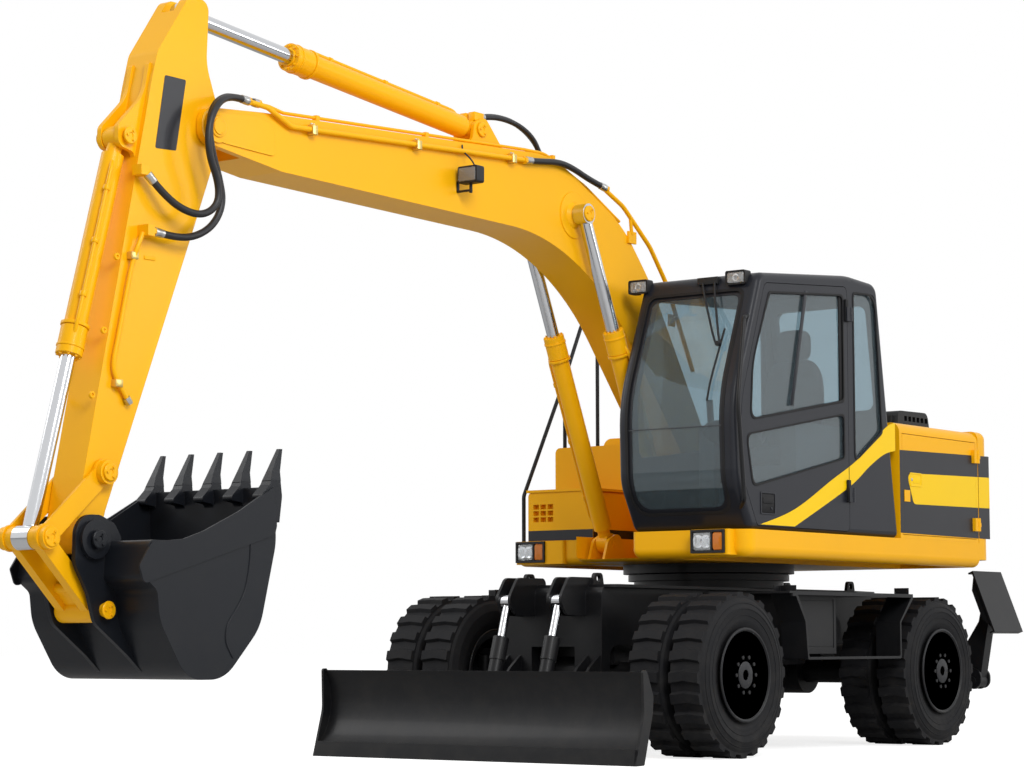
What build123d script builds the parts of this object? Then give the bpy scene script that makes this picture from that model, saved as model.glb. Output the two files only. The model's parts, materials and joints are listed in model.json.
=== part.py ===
from build123d import *
import math
import os

os.makedirs("parts", exist_ok=True)

# Wheeled excavator with a one-piece boom, a front blade and rear stabilisers.
# Millimetres. X runs forward from the slew axis, Y to the left and Z up from the ground.
# save() moves every piece by SLEW_X, which puts the origin under the middle of the machine.

# ---------------------------------------------------------------- driving dimensions
SLEW_X = -2000
CLEAR = 8                      # running gap between pieces that move past each other
SEAT = 0.3                     # gap between a piece and what it sits in
PLATE = 12                     # body and boom plate

AXLE_X = {"front": 1540, "rear": -1060}
AXLE_Z = 515
TYRE_RADIUS = 515
TYRE_WIDTH = 262
TYRE_BORE = 252
TWIN_INNER_Y = 822
TWIN_OUTER_Y = 1118
RIM_FLANGE = 304
LUG_COUNT = 24
LUG_DEPTH = 24
HUB_RADIUS = 145
HUB_FACE_Y = 1240
KINGPIN_Y = 780
KINGPIN_RADIUS = 30
SPINDLE = 60

FRAME_HALF = 380
FRAME_TOP = 1075
FRAME_REAR_X = -1900
FRAME_FRONT_X = 1850
RING_RADIUS = 560
RING_FLANGE = 595
RING_BORE = 400
RING_SPLIT_Z = 1188
EDGE_BEAM = 75
LAMP = {"width": 250, "height": 148, "depth": 60, "low": 1275}
LAMP_LEFT = (1548, 862)        # X of the lamp's front and its lower Y
LAMP_RIGHT = (625, -1205)
DECK_BOTTOM = 1290
DECK_TOP = 1425
DECK_HALF = 1240
TAIL_X = -2120
HOUSING_TOP = 2225
TOP_RADIUS = 70

BLADE_HALF = 1245
BLADE_PIVOT = (1960, 470)
BLADE_EYE = (2060, 980)        # upper pin of the blade cylinders
BLADE_BASE = (2275, 300)       # lower pin, on the blade's arms
BLADE_ARM_Y = 310
BLADE_CYLINDER_Y = 200

LEG_X = -2160
LEG_PIVOT = (960, 430)         # Y and Z of the stabiliser hinge
LEG_END = (1079, 989)
LEG_LUG = (898, 620)
STABILISER_BASE = (430, 940)
PAD_TILT = 69

BOOM_FOOT = (220, 1800)
BOOM_HALF = 160
BOOM_BASE = (900, 1385)        # lower pin of the boom cylinders
BOOM_EYE = (1830, 3465)
BOOM_CYLINDER_Y = 240
STICK_HINGE = (5176, 3515)
STICK_BASE = (2700, 3900)      # pin of the stick cylinder on the boom
STICK_EYE = (5262, 4142)
STICK_HALF = 110
STICK_SWEEP = 272              # room for the stick's back corner as it swings out
BUCKET_BASE = (5768, 3383)     # pin of the bucket cylinder on the stick
BUCKET_EYE = (6347, 1248)
ROCKER_PIN = (5952, 1593)
BUCKET_PIVOT = (6057, 1244)
BUCKET_LINK = (5973, 887)
BUCKET_HALF = 470
TOOTH_COUNT = 5

CAB_RIGHT = 345
CAB_LEFT = 1235
CAB_WALL = 45
CAB_ROUND = 42
CAB_FLOOR = DECK_TOP + SEAT + CAB_WALL
GLASS = 6
DOOR_HINGE = (176, 1253)       # X and Y of the cab door's hinge pin
SIDE_DOOR_HINGE = (-1640, 1258)
HOOD_HINGE = (-1670, 2250)     # X and Z of the engine hood's hinge pin
HINGE_PIN = 9
TIE_EYES = {"places": ((1740, 1123), (-1500, 1123)), "y": 270, "r": 22, "length": 24}


# ---------------------------------------------------------------- shared operations
def save(node, *solids):
    shapes = [Pos(SLEW_X, 0, 0) * solid for solid in solids]
    export_step(shapes[0] if len(shapes) == 1 else Compound(children=shapes), f"parts/{node}.step")


# rows: first axis, second axis, corner radius
def face_of(rows):
    points = [row[:2] for row in rows]
    radii = [row[2] for row in rows]
    return make_face(FilletPolyline(*points, radius=radii, close=True))


def side_plate(rows, low, high):
    face = face_of(rows) if isinstance(rows, list) else rows
    return extrude(Pos(0, high, 0) * (Plane.XZ * face), high - low, dir=(0, -1, 0))


def top_plate(rows, low, high):
    return extrude(Pos(0, 0, low) * face_of(rows), high - low, dir=(0, 0, 1))


def front_plate(rows, low, high):
    return extrude(Pos(low, 0, 0) * (Plane.YZ * face_of(rows)), high - low, dir=(1, 0, 0))


def block(x, y, z):
    return Pos((x[0] + x[1]) / 2, (y[0] + y[1]) / 2, (z[0] + z[1]) / 2) * Box(
        x[1] - x[0], y[1] - y[0], z[1] - z[0])


def bar(start, end, radius):
    axis = Vector(*end) - Vector(*start)
    return extrude(Plane(origin=start, z_dir=axis) * Circle(radius), axis.length)


def pin(place, low, high, radius):
    return bar((place[0], low, place[1]), (place[0], high, place[1]), radius)


def pin_x(place, low, high, radius):
    return bar((low, place[0], place[1]), (high, place[0], place[1]), radius)


def ring_face(place, radius):
    return Plane(origin=(place[0], 0, place[1]), z_dir=(0, 1, 0)) * Circle(radius)


def upright(x, y, low, high, radius):
    return bar((x, y, low), (x, y, high), radius)


def both(shape):
    return [shape, mirror(shape, about=Plane.XZ)]


def tube(points, radii, radius):
    path = FilletPolyline(*points, radius=radii) if len(points) > 2 else Line(*points)
    return sweep(Plane(origin=path @ 0, z_dir=path % 0) * Circle(radius), path=path)


def fused(shape, extras):
    for extra in extras:
        shape = shape + extra
    return shape


def along(start, end, distance):
    length = math.dist(start, end)
    return tuple(a + (b - a) * distance / length for a, b in zip(start, end))


# a hinge between a fixed lug and two leaves that carry the pin; axis is "Z" or "Y"
def hinge_lug(hinge, low, high, reach):
    x, y = hinge
    lug = upright(x, y, low, high, HINGE_PIN + 8) + block(reach[0], reach[1], (low, high))
    return lug - upright(x, y, low - 1, high + 1, HINGE_PIN + SEAT)


def hinge_leaf(hinge, low, high, reach):
    x, y = hinge
    leaf = upright(x, y, low - 32, high + 32, HINGE_PIN)
    for start, end in ((low - 32, low - 1), (high + 1, high + 32)):
        leaf += upright(x, y, start, end, HINGE_PIN + 8) + block(reach[0], reach[1], (start, end))
    return leaf


# ---------------------------------------------------------------- hydraulic cylinders
# eye radius, barrel radius, gland radius, rod radius, barrel length, half widths of the base eye,
# of its pin and of the rod eye
BOOM_CYLINDER = (66, 60, 69, 42, 1480, 44, 76, 44, 440)
STICK_CYLINDER = (72, 70, 82, 45, 1720, 48, 84, 48, 480)
BUCKET_CYLINDER = (64, 60, 70, 40, 1230, 44, 100, 59, 220)
BLADE_CYLINDER = (44, 46, 52, 27, 470, 30, 54, 37.5, 120)
STABILISER_CYLINDER = (46, 52, 58, 30, 480, 32, 56, 34.5, 365)
PIN = 32


# base and eye: pins in the plane of the cylinder; at(point, offset) places a point in space
def cylinder(base, eye, offset, sizes, at):
    eye_radius, barrel_radius, gland_radius, rod_radius, length, half, pin_half, eye_half, inside = sizes
    gland = length - 150
    barrel = bar(at(base, offset - half), at(base, offset + half), eye_radius)
    neck = eye_radius * 1.6
    barrel += bar(at(base, offset), at(along(base, eye, neck + 5), offset), half - 2)
    barrel += bar(at(along(base, eye, neck), offset), at(along(base, eye, gland), offset), barrel_radius)
    barrel += bar(at(along(base, eye, gland), offset), at(along(base, eye, length), offset), gland_radius)
    barrel -= bar(at(along(base, eye, eye_radius + 60), offset),
                  at(along(base, eye, length + 10), offset), rod_radius + 0.5)
    barrel += bar(at(base, offset - pin_half), at(base, offset + pin_half), PIN)
    rod = bar(at(eye, offset - eye_half), at(eye, offset + eye_half), eye_radius)
    rod += bar(at(along(base, eye, length - inside), offset),
               at(along(base, eye, math.dist(base, eye) - eye_radius * 0.6), offset), rod_radius)
    return barrel, rod


def in_side_view(point, y):
    return (point[0], y, point[1])


def in_rear_view(point, x):
    return (x, point[0], point[1])


# ---------------------------------------------------------------- chassis
def chassis_frame():
    # x, z, corner radius
    side = [(FRAME_REAR_X, 600, 60), (FRAME_REAR_X, FRAME_TOP, 0), (FRAME_FRONT_X, FRAME_TOP, 60),
            (FRAME_FRONT_X, 400, 40), (1760, 400, 40), (1760, 700, 80), (1250, 700, 80),
            (1120, 560, 60), (-640, 560, 60), (-780, 700, 80), (-1400, 700, 80), (-1500, 600, 60)]
    frame = side_plate(side, -FRAME_HALF, FRAME_HALF)
    frame -= block((-600, 1080), (-FRAME_HALF + 30, FRAME_HALF - 30), (0, FRAME_TOP - 60))
    # x, y, corner radius of the top deck, wider than the frame over the tyres
    deck = [(-1250, -470, 80), (1820, -470, 60), (1820, 470, 60),
            (-1250, 470, 80), (-1700, 380, 60), (-1700, -380, 60)]
    frame += top_plate(deck, FRAME_TOP - 10, FRAME_TOP + 10)
    frame += upright(0, 0, FRAME_TOP + 10, RING_SPLIT_Z - 50, 520)
    frame += upright(0, 0, RING_SPLIT_Z - 50, RING_SPLIT_Z - CLEAR, RING_RADIUS)
    frame += upright(0, 0, RING_SPLIT_Z - CLEAR, DECK_BOTTOM - 55, RING_BORE - SEAT)
    # ears of the blade: low ones for the arms, high ones for the cylinders
    low_ear = [(FRAME_FRONT_X - 60, 350, 0), (BLADE_PIVOT[0], 380, 60), (BLADE_PIVOT[0] + 85, 470, 60),
               (BLADE_PIVOT[0], 560, 60), (FRAME_FRONT_X - 60, 680, 0)]
    high_ear = [(FRAME_FRONT_X - 120, 880, 0), (BLADE_EYE[0], 890, 60), (BLADE_EYE[0] + 70, 990, 60),
                (BLADE_EYE[0] - 30, 1130, 60), (FRAME_FRONT_X - 120, 1130, 40)]
    for y in (BLADE_ARM_Y - 56, BLADE_ARM_Y + 36):
        for ear in both(side_plate(low_ear, y, y + 20)):
            frame += ear
    for y in (BLADE_CYLINDER_Y - 58, BLADE_CYLINDER_Y + 38):
        for ear in both(side_plate(high_ear, y, y + 20)):
            frame += ear
    frame -= pin(BLADE_PIVOT, -500, 500, PIN + SEAT)
    # tunnel for the axles' drive line
    frame -= block((-1450, FRAME_FRONT_X + 10), (-170, 170), (0, 690))
    # lifting eyes on the front of the deck and at the rear
    low = TIE_EYES["y"] - TIE_EYES["length"] / 2
    for x, z in TIE_EYES["places"]:
        eye = side_plate([(x - 60, z - 48, 0), (x + 60, z - 48, 0), (x + 42, z + 37, 30), (x - 42, z + 37, 30)],
                         low, low + TIE_EYES["length"])
        eye -= pin((x, z), 200, 300, TIE_EYES["r"])
        for side_eye in both(eye):
            frame += side_eye
    return frame


def stabiliser_frame():
    # y, z, corner radius of the front and back plates that carry the legs
    reach = LEG_PIVOT[0]
    wing = [(-reach - 70, 370, 60), (-360, 430, 80), (360, 430, 80), (reach + 70, 370, 60), (reach + 70, 500, 60),
            (560, 700, 120), (STABILISER_BASE[0] + 80, 1020, 60), (-STABILISER_BASE[0] - 80, 1020, 60),
            (-560, 700, 120), (-reach - 70, 500, 60)]
    plates = front_plate(wing, LEG_X - 80, LEG_X - 60) + front_plate(wing, LEG_X + 60, LEG_X + 80)
    plates += block((LEG_X - 80, FRAME_REAR_X + 20), (-300, 300), (600, 1000))
    for side in (-1, 1):
        for point in (LEG_PIVOT, STABILISER_BASE):
            plates -= pin_x((side * point[0], point[1]), LEG_X - 90, LEG_X + 90, PIN + SEAT)
    return plates


# one leg with its pad, on the left
def stabiliser():
    half = 52
    y, z = LEG_PIVOT
    leg = pin_x(LEG_PIVOT, LEG_X - half, LEG_X + half, 60)
    rows = [(y - 48, z, 0), (y + 48, z - 10, 0), (LEG_END[0] + 30, LEG_END[1], 0), (LEG_END[0] - 40, LEG_END[1] + 20, 0)]
    leg += front_plate(rows, LEG_X - half, LEG_X + half)
    # cheeks that hold the cylinder's pin, inboard of the leg
    cheek = [(y - 30, z, 0), (y + 30, z, 0), (LEG_END[0] - 30, LEG_END[1] - 60, 0), (LEG_LUG[0] - 10, LEG_LUG[1] + 62, 60),
             (LEG_LUG[0] - 62, LEG_LUG[1] - 10, 50)]
    leg += front_plate(cheek, LEG_X - half, LEG_X + half)
    leg += pin_x(LEG_END, LEG_X - 80, LEG_X + 80, 45)
    # the leg is a channel, open inboard, for the cylinder's whole swing
    leg -= front_plate([(y - 150, z - 90, 0), (y + 34, z - 90, 0), (LEG_END[0] + 8, LEG_END[1] - 90, 0),
                        (LEG_END[0] - 300, LEG_END[1] - 90, 0)], LEG_X - 35, LEG_X + 35)
    leg += pin_x(LEG_PIVOT, LEG_X - 90, LEG_X + 90, PIN)
    pad = Box(460, 475, 14) + Pos(0, 0, -35) * Box(150, 60, 60)
    for x in (-205, -75, 75, 205):
        rib = Plane.YZ * make_face(Polyline((-225, 0), (225, 0), (110, -62), (-110, -62), close=True))
        pad += Pos(x - 6, 0, 0) * extrude(rib, 12)
    for y in (-231, 231):
        pad += Pos(0, y, -14) * Box(460, 12, 40)
    centre = (LEG_END[0] + 56, LEG_END[1] + 21)
    leg += Pos(LEG_X, centre[0], centre[1]) * Rot(-PAD_TILT, 0, 0) * pad
    return leg


def front_axle():
    beam = bar((AXLE_X["front"], -640, AXLE_Z), (AXLE_X["front"], 640, AXLE_Z), 78)
    beam += bar((AXLE_X["front"], -170, AXLE_Z), (AXLE_X["front"], 170, AXLE_Z), 150)
    beam += block((1440, 1640), (-330, 330), (AXLE_Z + 60, 700))
    # steering cylinder behind the beam, its rods to both sides
    x, z = AXLE_X["front"] - 150, AXLE_Z + 120
    beam += bar((x, -250, z), (x, 250, z), 42) + bar((x, -520, z), (x, 520, z), 20)
    beam += block((x - 20, x + 120), (-240, -200), (z - 60, z + 30)) + block((x - 20, x + 120), (200, 240), (z - 60, z + 30))
    beam += bar((AXLE_X["front"] - 240, 0, AXLE_Z), (AXLE_X["front"], 0, AXLE_Z), 62)
    # yokes that hold the kingpins above and below each knuckle
    yoke = front_plate([(600, AXLE_Z - 150, 0), (KINGPIN_Y + 42, AXLE_Z - 168, 20), (KINGPIN_Y + 42, AXLE_Z - 128, 10),
                        (690, AXLE_Z - 118, 20), (690, AXLE_Z + 118, 20), (KINGPIN_Y + 42, AXLE_Z + 128, 10),
                        (KINGPIN_Y + 42, AXLE_Z + 168, 20), (600, AXLE_Z + 150, 0)],
                       AXLE_X["front"] - 45, AXLE_X["front"] + 45)
    for side_yoke in both(yoke - upright(AXLE_X["front"], KINGPIN_Y, 300, 800, KINGPIN_RADIUS + SEAT)):
        beam += side_yoke
    return beam


def rear_axle():
    beam = bar((AXLE_X["rear"], -760, AXLE_Z), (AXLE_X["rear"], 760, AXLE_Z), 88)
    beam += bar((AXLE_X["rear"], -1060, AXLE_Z), (AXLE_X["rear"], 1060, AXLE_Z), SPINDLE - SEAT)
    beam += bar((AXLE_X["rear"], -170, AXLE_Z), (AXLE_X["rear"], 170, AXLE_Z), 165)
    beam += block((-1160, -960), (-330, 330), (AXLE_Z + 60, 700))
    beam += bar((AXLE_X["rear"] + 120, 0, AXLE_Z), (-640, 0, AXLE_Z), 90)
    beam += bar((-640, 0, AXLE_Z), (-420, 0, AXLE_Z), 150)
    beam += bar((-420, 0, AXLE_Z), (AXLE_X["front"] - 240, 0, AXLE_Z), 38)
    return beam


def turned_at(place, rows):
    return Pos(*place) * revolve(face_of(rows), Axis.Y)


def knuckle():
    x, z = AXLE_X["front"], AXLE_Z
    body = upright(x, KINGPIN_Y, z - 118, z + 118, 52)
    body += upright(x, KINGPIN_Y, z - 166, z + 166, KINGPIN_RADIUS)
    body += bar((x, KINGPIN_Y, z), (x, TWIN_OUTER_Y - 60, z), SPINDLE - SEAT)
    body += turned_at((x, 0, z), [(50, KINGPIN_Y + 48, 0), (118, KINGPIN_Y + 56, 20), (150, 900, 10), (150, 948, 10), (50, 948, 0)])
    body += block((x - 178, x - 30), (KINGPIN_Y - 30, KINGPIN_Y + 30), (z + 70, z + 106))
    return body


def turned(rows):
    # rows: radius, y, corner radius; turned about the Y axis
    return revolve(face_of(rows), Axis.Y)


def tread_face(y, shift):
    # outline of the tread across the tyre: shift turns it by a share of the lug's pitch
    points = []
    for k in range(LUG_COUNT):
        for share, radius in ((-0.30, TYRE_RADIUS - LUG_DEPTH), (-0.22, TYRE_RADIUS),
                              (0.22, TYRE_RADIUS), (0.30, TYRE_RADIUS - LUG_DEPTH)):
            angle = math.radians((k + share + shift) * 360 / LUG_COUNT)
            points.append((radius * math.cos(angle), radius * math.sin(angle)))
    return Pos(0, y, 0) * (Plane.XZ * make_face(Polyline(*points, close=True)))


def tyre():
    half = TYRE_WIDTH / 2
    tread = TYRE_RADIUS - LUG_DEPTH
    # radius, y, corner radius of the carcass
    section = [(TYRE_BORE, -half + 42, 0), (RIM_FLANGE + 30, -half + 12, 0), (TYRE_RADIUS * 0.8, -half, 0),
               (tread - 30, -half + 14, 0), (tread - 2, -half + 34, 0), (tread - 2, half - 34, 0),
               (tread - 30, half - 14, 0), (TYRE_RADIUS * 0.8, half, 0), (RIM_FLANGE + 30, half - 12, 0),
               (TYRE_BORE, half - 42, 0)]
    reach = half - 26
    lugs = loft([tread_face(-reach, 0.9), tread_face(0, 0), tread_face(reach, 0.9)], ruled=True)
    lugs -= bar((0, -half, 0), (0, half, 0), tread - 60)
    return turned(section) + lugs


def rims():
    # radius, y: outer wheel, inner wheel and the hub that carries both
    inner = TWIN_INNER_Y
    outer = TWIN_OUTER_Y
    wall = 10
    section = [(RIM_FLANGE, outer + 136, 6), (RIM_FLANGE - 22, outer + 136, 0), (TYRE_BORE - 14, outer + 110, 20),
               (TYRE_BORE - 14, outer - 20, 20), (HUB_RADIUS + 40, outer - 30, 20), (HUB_RADIUS + 10, outer + 40, 10),
               (HUB_RADIUS, HUB_FACE_Y, 15), (20, HUB_FACE_Y, 0), (20, outer - 50, 0),
               (SPINDLE, outer - 50, 0), (SPINDLE, 960, 0), (HUB_RADIUS + 30, 960, 20), (TYRE_BORE - 24, inner + 90, 20),
               (TYRE_BORE - 24, inner - 110, 20), (RIM_FLANGE - 22, inner - 136, 0), (RIM_FLANGE, inner - 136, 6),
               (TYRE_BORE - 2, inner - 88, 0), (TYRE_BORE - 2, inner + 88, 0),
               (RIM_FLANGE - 10, inner + 130, 4), (RIM_FLANGE - 10, outer - 130, 4),
               (TYRE_BORE - 2, outer - 88, 0), (TYRE_BORE - 2, outer + 88, 0)]
    return turned(section)


STEP = {"out": 1240, "rim": 16, "tread_z": 605, "tread_in": 1050, "top_z": 1030}
# x, z of the step frame's outline beside the chassis
STEP_SIDE = [(945, 1044, 10), (-665, 1044, 10), (-665, 1012, 0), (-492, 850, 20), (-492, 605, 20), (760, 605, 20),
             (790, 850, 20), (905, 1012, 0), (945, 1012, 0)]
STEP_OPENING = [(880, 1020, 0), (-640, 1020, 0), (-476, 856, 20), (-476, 622, 10), (745, 622, 10), (775, 850, 20)]


def steps():
    out = STEP["out"]
    step = side_plate(STEP_SIDE, out - STEP["rim"], out) - side_plate(STEP_OPENING, out - 40, out + 1)
    step += top_plate([(-640, FRAME_HALF, 0), (920, FRAME_HALF, 0), (940, out, 20), (-660, out, 20)],
                      STEP["top_z"], STEP["top_z"] + 14)
    step += block((-480, 750), (STEP["tread_in"], out), (STEP["tread_z"], STEP["tread_z"] + 14))
    step += side_plate([(-492, 610, 0), (-480, 610, 0), (-480, 850, 0), (-655, 1035, 0), (-668, 1035, 0), (-492, 850, 0)],
                       STEP["tread_in"], out)
    step += side_plate([(760, 610, 0), (748, 610, 0), (776, 850, 0), (900, 1035, 0), (914, 1035, 0), (790, 850, 0)],
                       STEP["tread_in"], out)
    step += block((900, 985), (1120, out), (STEP["top_z"], 1082)) - block((905, 990), (1126, out + 1), (STEP["top_z"] + 14, 1090))
    step += block((-665, -600), (1130, out), (STEP["top_z"], 1086)) - block((-670, -606), (1136, out + 1), (STEP["top_z"] + 14, 1090))
    # toolbox with a recessed door, and the tank behind the tread
    step += block((120, 740), (FRAME_HALF, 1080), (640, STEP["top_z"] + 2))
    step -= block((150, 720), (1076, 1090), (680, 1000))
    step += block((160, 710), (1060, 1079), (690, 990))
    step += bar((-150, FRAME_HALF, 800), (-150, 900, 800), 110)
    return step


# ---------------------------------------------------------------- blade
def blade():
    front = ThreePointArc((2741, 60), (2592, 290), (2657, 545))
    rear = ThreePointArc((2725, 60), (2576, 290), (2640, 545))
    section = make_face([front, Line(front @ 1, rear @ 1), rear, Line(rear @ 0, front @ 0)])
    board = side_plate(section, -BLADE_HALF + 15, BLADE_HALF - 15)
    # cutting edge, bolted below the mouldboard
    board += side_plate([(2722, 0, 0), (2748, 0, 0), (2741, 60, 0), (2736, 95, 0), (2712, 95, 0)],
                        -BLADE_HALF + 15, BLADE_HALF - 15)
    end = [(2748, 0, 0), (2660, 300, 220), (2668, 552, 14), (2632, 556, 14), (2560, 400, 60), (2570, 300, 80),
           (2660, 2, 10)]
    for plate in both(side_plate(end, BLADE_HALF - 16, BLADE_HALF)):
        board += plate
    board += side_plate([(2500, 130, 20), (2645, 130, 0), (2584, 250, 0), (2582, 350, 0), (2500, 330, 20)], -520, 520)
    arm = [(1925, 525, 40), (1900, 450, 40), (1960, 410, 30), (2480, 130, 0), (2560, 130, 0), (2560, 310, 0),
           (2480, 330, 40), (1990, 530, 30)]
    lug = [(2540, 140, 0), (2540, 320, 0), (2300, 350, 40), (2225, 300, 40), (2280, 240, 40)]
    for piece in (side_plate(arm, BLADE_ARM_Y - 30, BLADE_ARM_Y + 30),
                  pin(BLADE_PIVOT, BLADE_ARM_Y - 60, BLADE_ARM_Y + 60, PIN),
                  side_plate(lug, BLADE_CYLINDER_Y - 54, BLADE_CYLINDER_Y - 36),
                  side_plate(lug, BLADE_CYLINDER_Y + 36, BLADE_CYLINDER_Y + 54)):
        for half in both(piece):
            board += half
    for side in (-1, 1):
        y = side * BLADE_CYLINDER_Y
        board -= pin(BLADE_BASE, y - 70, y + 70, PIN + SEAT)
    return board


# ---------------------------------------------------------------- upper structure
def upper_frame():
    # x, y, corner radius of the deck: the cab side runs forward, the right side stops short
    plan = [(-1680, -DECK_HALF, 0), (600, -DECK_HALF, 60), (600, -340, 0), (1150, -340, 60), (1180, 340, 40),
            (1480, 360, 40), (1480, DECK_HALF, 90), (-1680, DECK_HALF, 0)]
    deck = top_plate(plan, DECK_BOTTOM - 40, DECK_TOP)
    # the side beams turn in below
    low_edges = deck.edges().filter_by(lambda e: abs(e.center().Y) > DECK_HALF - 1 and e.center().Z < DECK_BOTTOM)
    deck = fillet(low_edges, EDGE_BEAM * 0.8)
    inner = [(-1640, -DECK_HALF + EDGE_BEAM, 0), (540, -DECK_HALF + EDGE_BEAM, 40), (540, -620, 0), (-1640, -620, 0)]
    deck -= top_plate(inner, DECK_BOTTOM - 60, DECK_TOP - PLATE)
    left = [(-1640, 620, 0), (1380, 620, 0), (1380, DECK_HALF - EDGE_BEAM, 60), (-1640, DECK_HALF - EDGE_BEAM, 0)]
    deck -= top_plate(left, DECK_BOTTOM - 60, DECK_TOP - PLATE)
    # lamp boxes: the left one tapers back along the side beam, the right one stands on the corner
    nose = [(1380, LAMP_LEFT[1], 0), (LAMP_LEFT[0], LAMP_LEFT[1], 0), (LAMP_LEFT[0], LAMP_LEFT[1] + LAMP["width"] + 24, 20),
            (LAMP_LEFT[0] - 90, LAMP_LEFT[1] + LAMP["width"] + 30, 40), (1120, DECK_HALF - 20, 0), (1120, 1000, 0)]
    deck += top_plate(nose, LAMP["low"] - 12, DECK_TOP)
    right = [(420, LAMP_RIGHT[1] - 10, 20), (LAMP_RIGHT[0], LAMP_RIGHT[1] - 10, 20),
             (LAMP_RIGHT[0], LAMP_RIGHT[1] + LAMP["width"] + 160, 20), (420, LAMP_RIGHT[1] + LAMP["width"] + 160, 20)]
    deck += top_plate(right, LAMP["low"] - 12, DECK_TOP)
    for x, y in (LAMP_LEFT, LAMP_RIGHT):
        deck -= block((x - LAMP["depth"], x + 1), (y, y + LAMP["width"]), (LAMP["low"], LAMP["low"] + LAMP["height"]))
    deck -= block((420, 1300), (-330, 330), (DECK_BOTTOM - 20, DECK_TOP + 1))
    # boom foot brackets and cylinder ears
    x, z = BOOM_FOOT
    bracket = [(-700, DECK_TOP - 10, 0), (560, DECK_TOP - 10, 0), (560, DECK_TOP + 60, 60), (x + 140, z + 30, 110),
               (x - 120, z + 130, 120), (-450, DECK_TOP + 200, 200), (-700, DECK_TOP + 60, 0)]
    for plate in both(side_plate(bracket, BOOM_HALF + 6, BOOM_HALF + 28)):
        deck += plate
    deck += block((-720, -690), (-BOOM_HALF - 28, BOOM_HALF + 28), (DECK_TOP - 10, DECK_TOP + 200))
    deck -= pin(BOOM_FOOT, -400, 400, 45 + SEAT)
    x, z = BOOM_BASE
    ear = [(x - 130, DECK_BOTTOM - 30, 0), (x + 130, DECK_BOTTOM - 30, 0), (x + 75, z + 20, 60), (x - 60, z + 80, 60)]
    for y in (BOOM_CYLINDER_Y - 70, BOOM_CYLINDER_Y + 50):
        for plate in both(side_plate(ear, y, y + 20)):
            deck += plate
    deck -= pin(BOOM_BASE, -400, 400, PIN + SEAT)
    return deck


def slew_ring():
    ring = upright(0, 0, RING_SPLIT_Z, DECK_BOTTOM - 40, RING_FLANGE) - upright(0, 0, 1100, 1500, RING_BORE)
    return ring


def counterweight():
    # x, y, corner radius
    plan = [(-1680, -DECK_HALF, 0), (-1850, -DECK_HALF, 150), (TAIL_X, -640, 900), (TAIL_X, 640, 900),
            (-1850, DECK_HALF, 150), (-1680, DECK_HALF, 0)]
    body = top_plate(plan, 1305, HOUSING_TOP + 10)
    body = fillet(body.edges().group_by(Axis.Z)[-1].filter_by(lambda e: e.center().X < -1700), 55)
    for y in (-240, 240):
        lug = pin(HOOD_HINGE, y - 12, y + 12, HINGE_PIN + 8) + block((-1725, -1670), (y - 12, y + 12), (2230, 2262))
        body += lug
    return body - pin(HOOD_HINGE, -300, 300, HINGE_PIN + SEAT)


def left_housing():
    shell = block((-1672, -505), (345, DECK_HALF), (DECK_TOP, HOUSING_TOP))
    shell = fillet(shell.edges().filter_by(Axis.X).sort_by(Axis.Z)[-2:].sort_by(Axis.Y)[-1:], TOP_RADIUS)
    shell -= block((-1650, -530), (370, DECK_HALF - 30), (DECK_TOP + 20, HOUSING_TOP - 30))
    shell -= block((-1640, -540), (DECK_HALF - 31, DECK_HALF + 10), (DECK_TOP + 25, HOUSING_TOP - 75))
    return shell + side_door_lugs()


def side_door_lugs():
    x, y = SIDE_DOOR_HINGE
    lugs = [hinge_lug(SIDE_DOOR_HINGE, low, low + 30, ((x - 30, x - 3), (DECK_HALF - 5, y + 8))) for low in (1540, 2030)]
    return lugs[0] + lugs[1]


def side_door(side):
    x, y = SIDE_DOOR_HINGE
    panel = block((-1636, -544), (DECK_HALF - 30, DECK_HALF), (DECK_TOP + 29, HOUSING_TOP - 79))
    for low in (1540, 2030):
        panel += hinge_leaf(SIDE_DOOR_HINGE, low, low + 30, ((x + 3, x + 60), (DECK_HALF + 1, y + 8)))
        panel += block((x + 20, x + 60), (DECK_HALF - 5, y + 8), (low - 32, low + 62))
    panel += block((-640, -560), (DECK_HALF, DECK_HALF + 6), (1680, 1760))
    return panel if side > 0 else mirror(panel, about=Plane.XZ)


GRILLE = {"rows": 3, "columns": 3, "y": -1075, "z": 1560, "pitch_y": 62, "pitch_z": 45}


def right_housing():
    shell = block((-1672, -505), (-DECK_HALF, -345), (DECK_TOP, HOUSING_TOP))
    shell = fillet(shell.edges().filter_by(Axis.X).sort_by(Axis.Z)[-2:].sort_by(Axis.Y)[:1], TOP_RADIUS)
    shell -= block((-1650, -530), (-DECK_HALF + 30, -370), (DECK_TOP + 20, HOUSING_TOP - 30))
    shell -= block((-1640, -540), (-DECK_HALF - 10, -DECK_HALF + 31), (DECK_TOP + 25, HOUSING_TOP - 75))
    shell += mirror(side_door_lugs(), about=Plane.XZ)
    tank = block((-510, 105), (-DECK_HALF, -400), (DECK_TOP, 2120))
    tank = fillet(tank.edges().filter_by(Axis.X).group_by(Axis.Z)[-1], 40)
    box = block((100, 600), (-1120, -560), (DECK_TOP, 1770))
    box = fillet(box.edges().filter_by(Axis.X).group_by(Axis.Z)[-1], 30)
    lid = block((90, 610), (-1130, -550), (1768, 1786))
    box += lid
    for row in range(GRILLE["rows"]):
        for column in range(GRILLE["columns"]):
            y = GRILLE["y"] + column * GRILLE["pitch_y"]
            z = GRILLE["z"] + row * GRILLE["pitch_z"]
            box -= block((560, 601), (y, y + GRILLE["pitch_y"] - 14), (z, z + GRILLE["pitch_z"] - 12))
    shell += tank
    shell += box
    return shell


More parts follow.
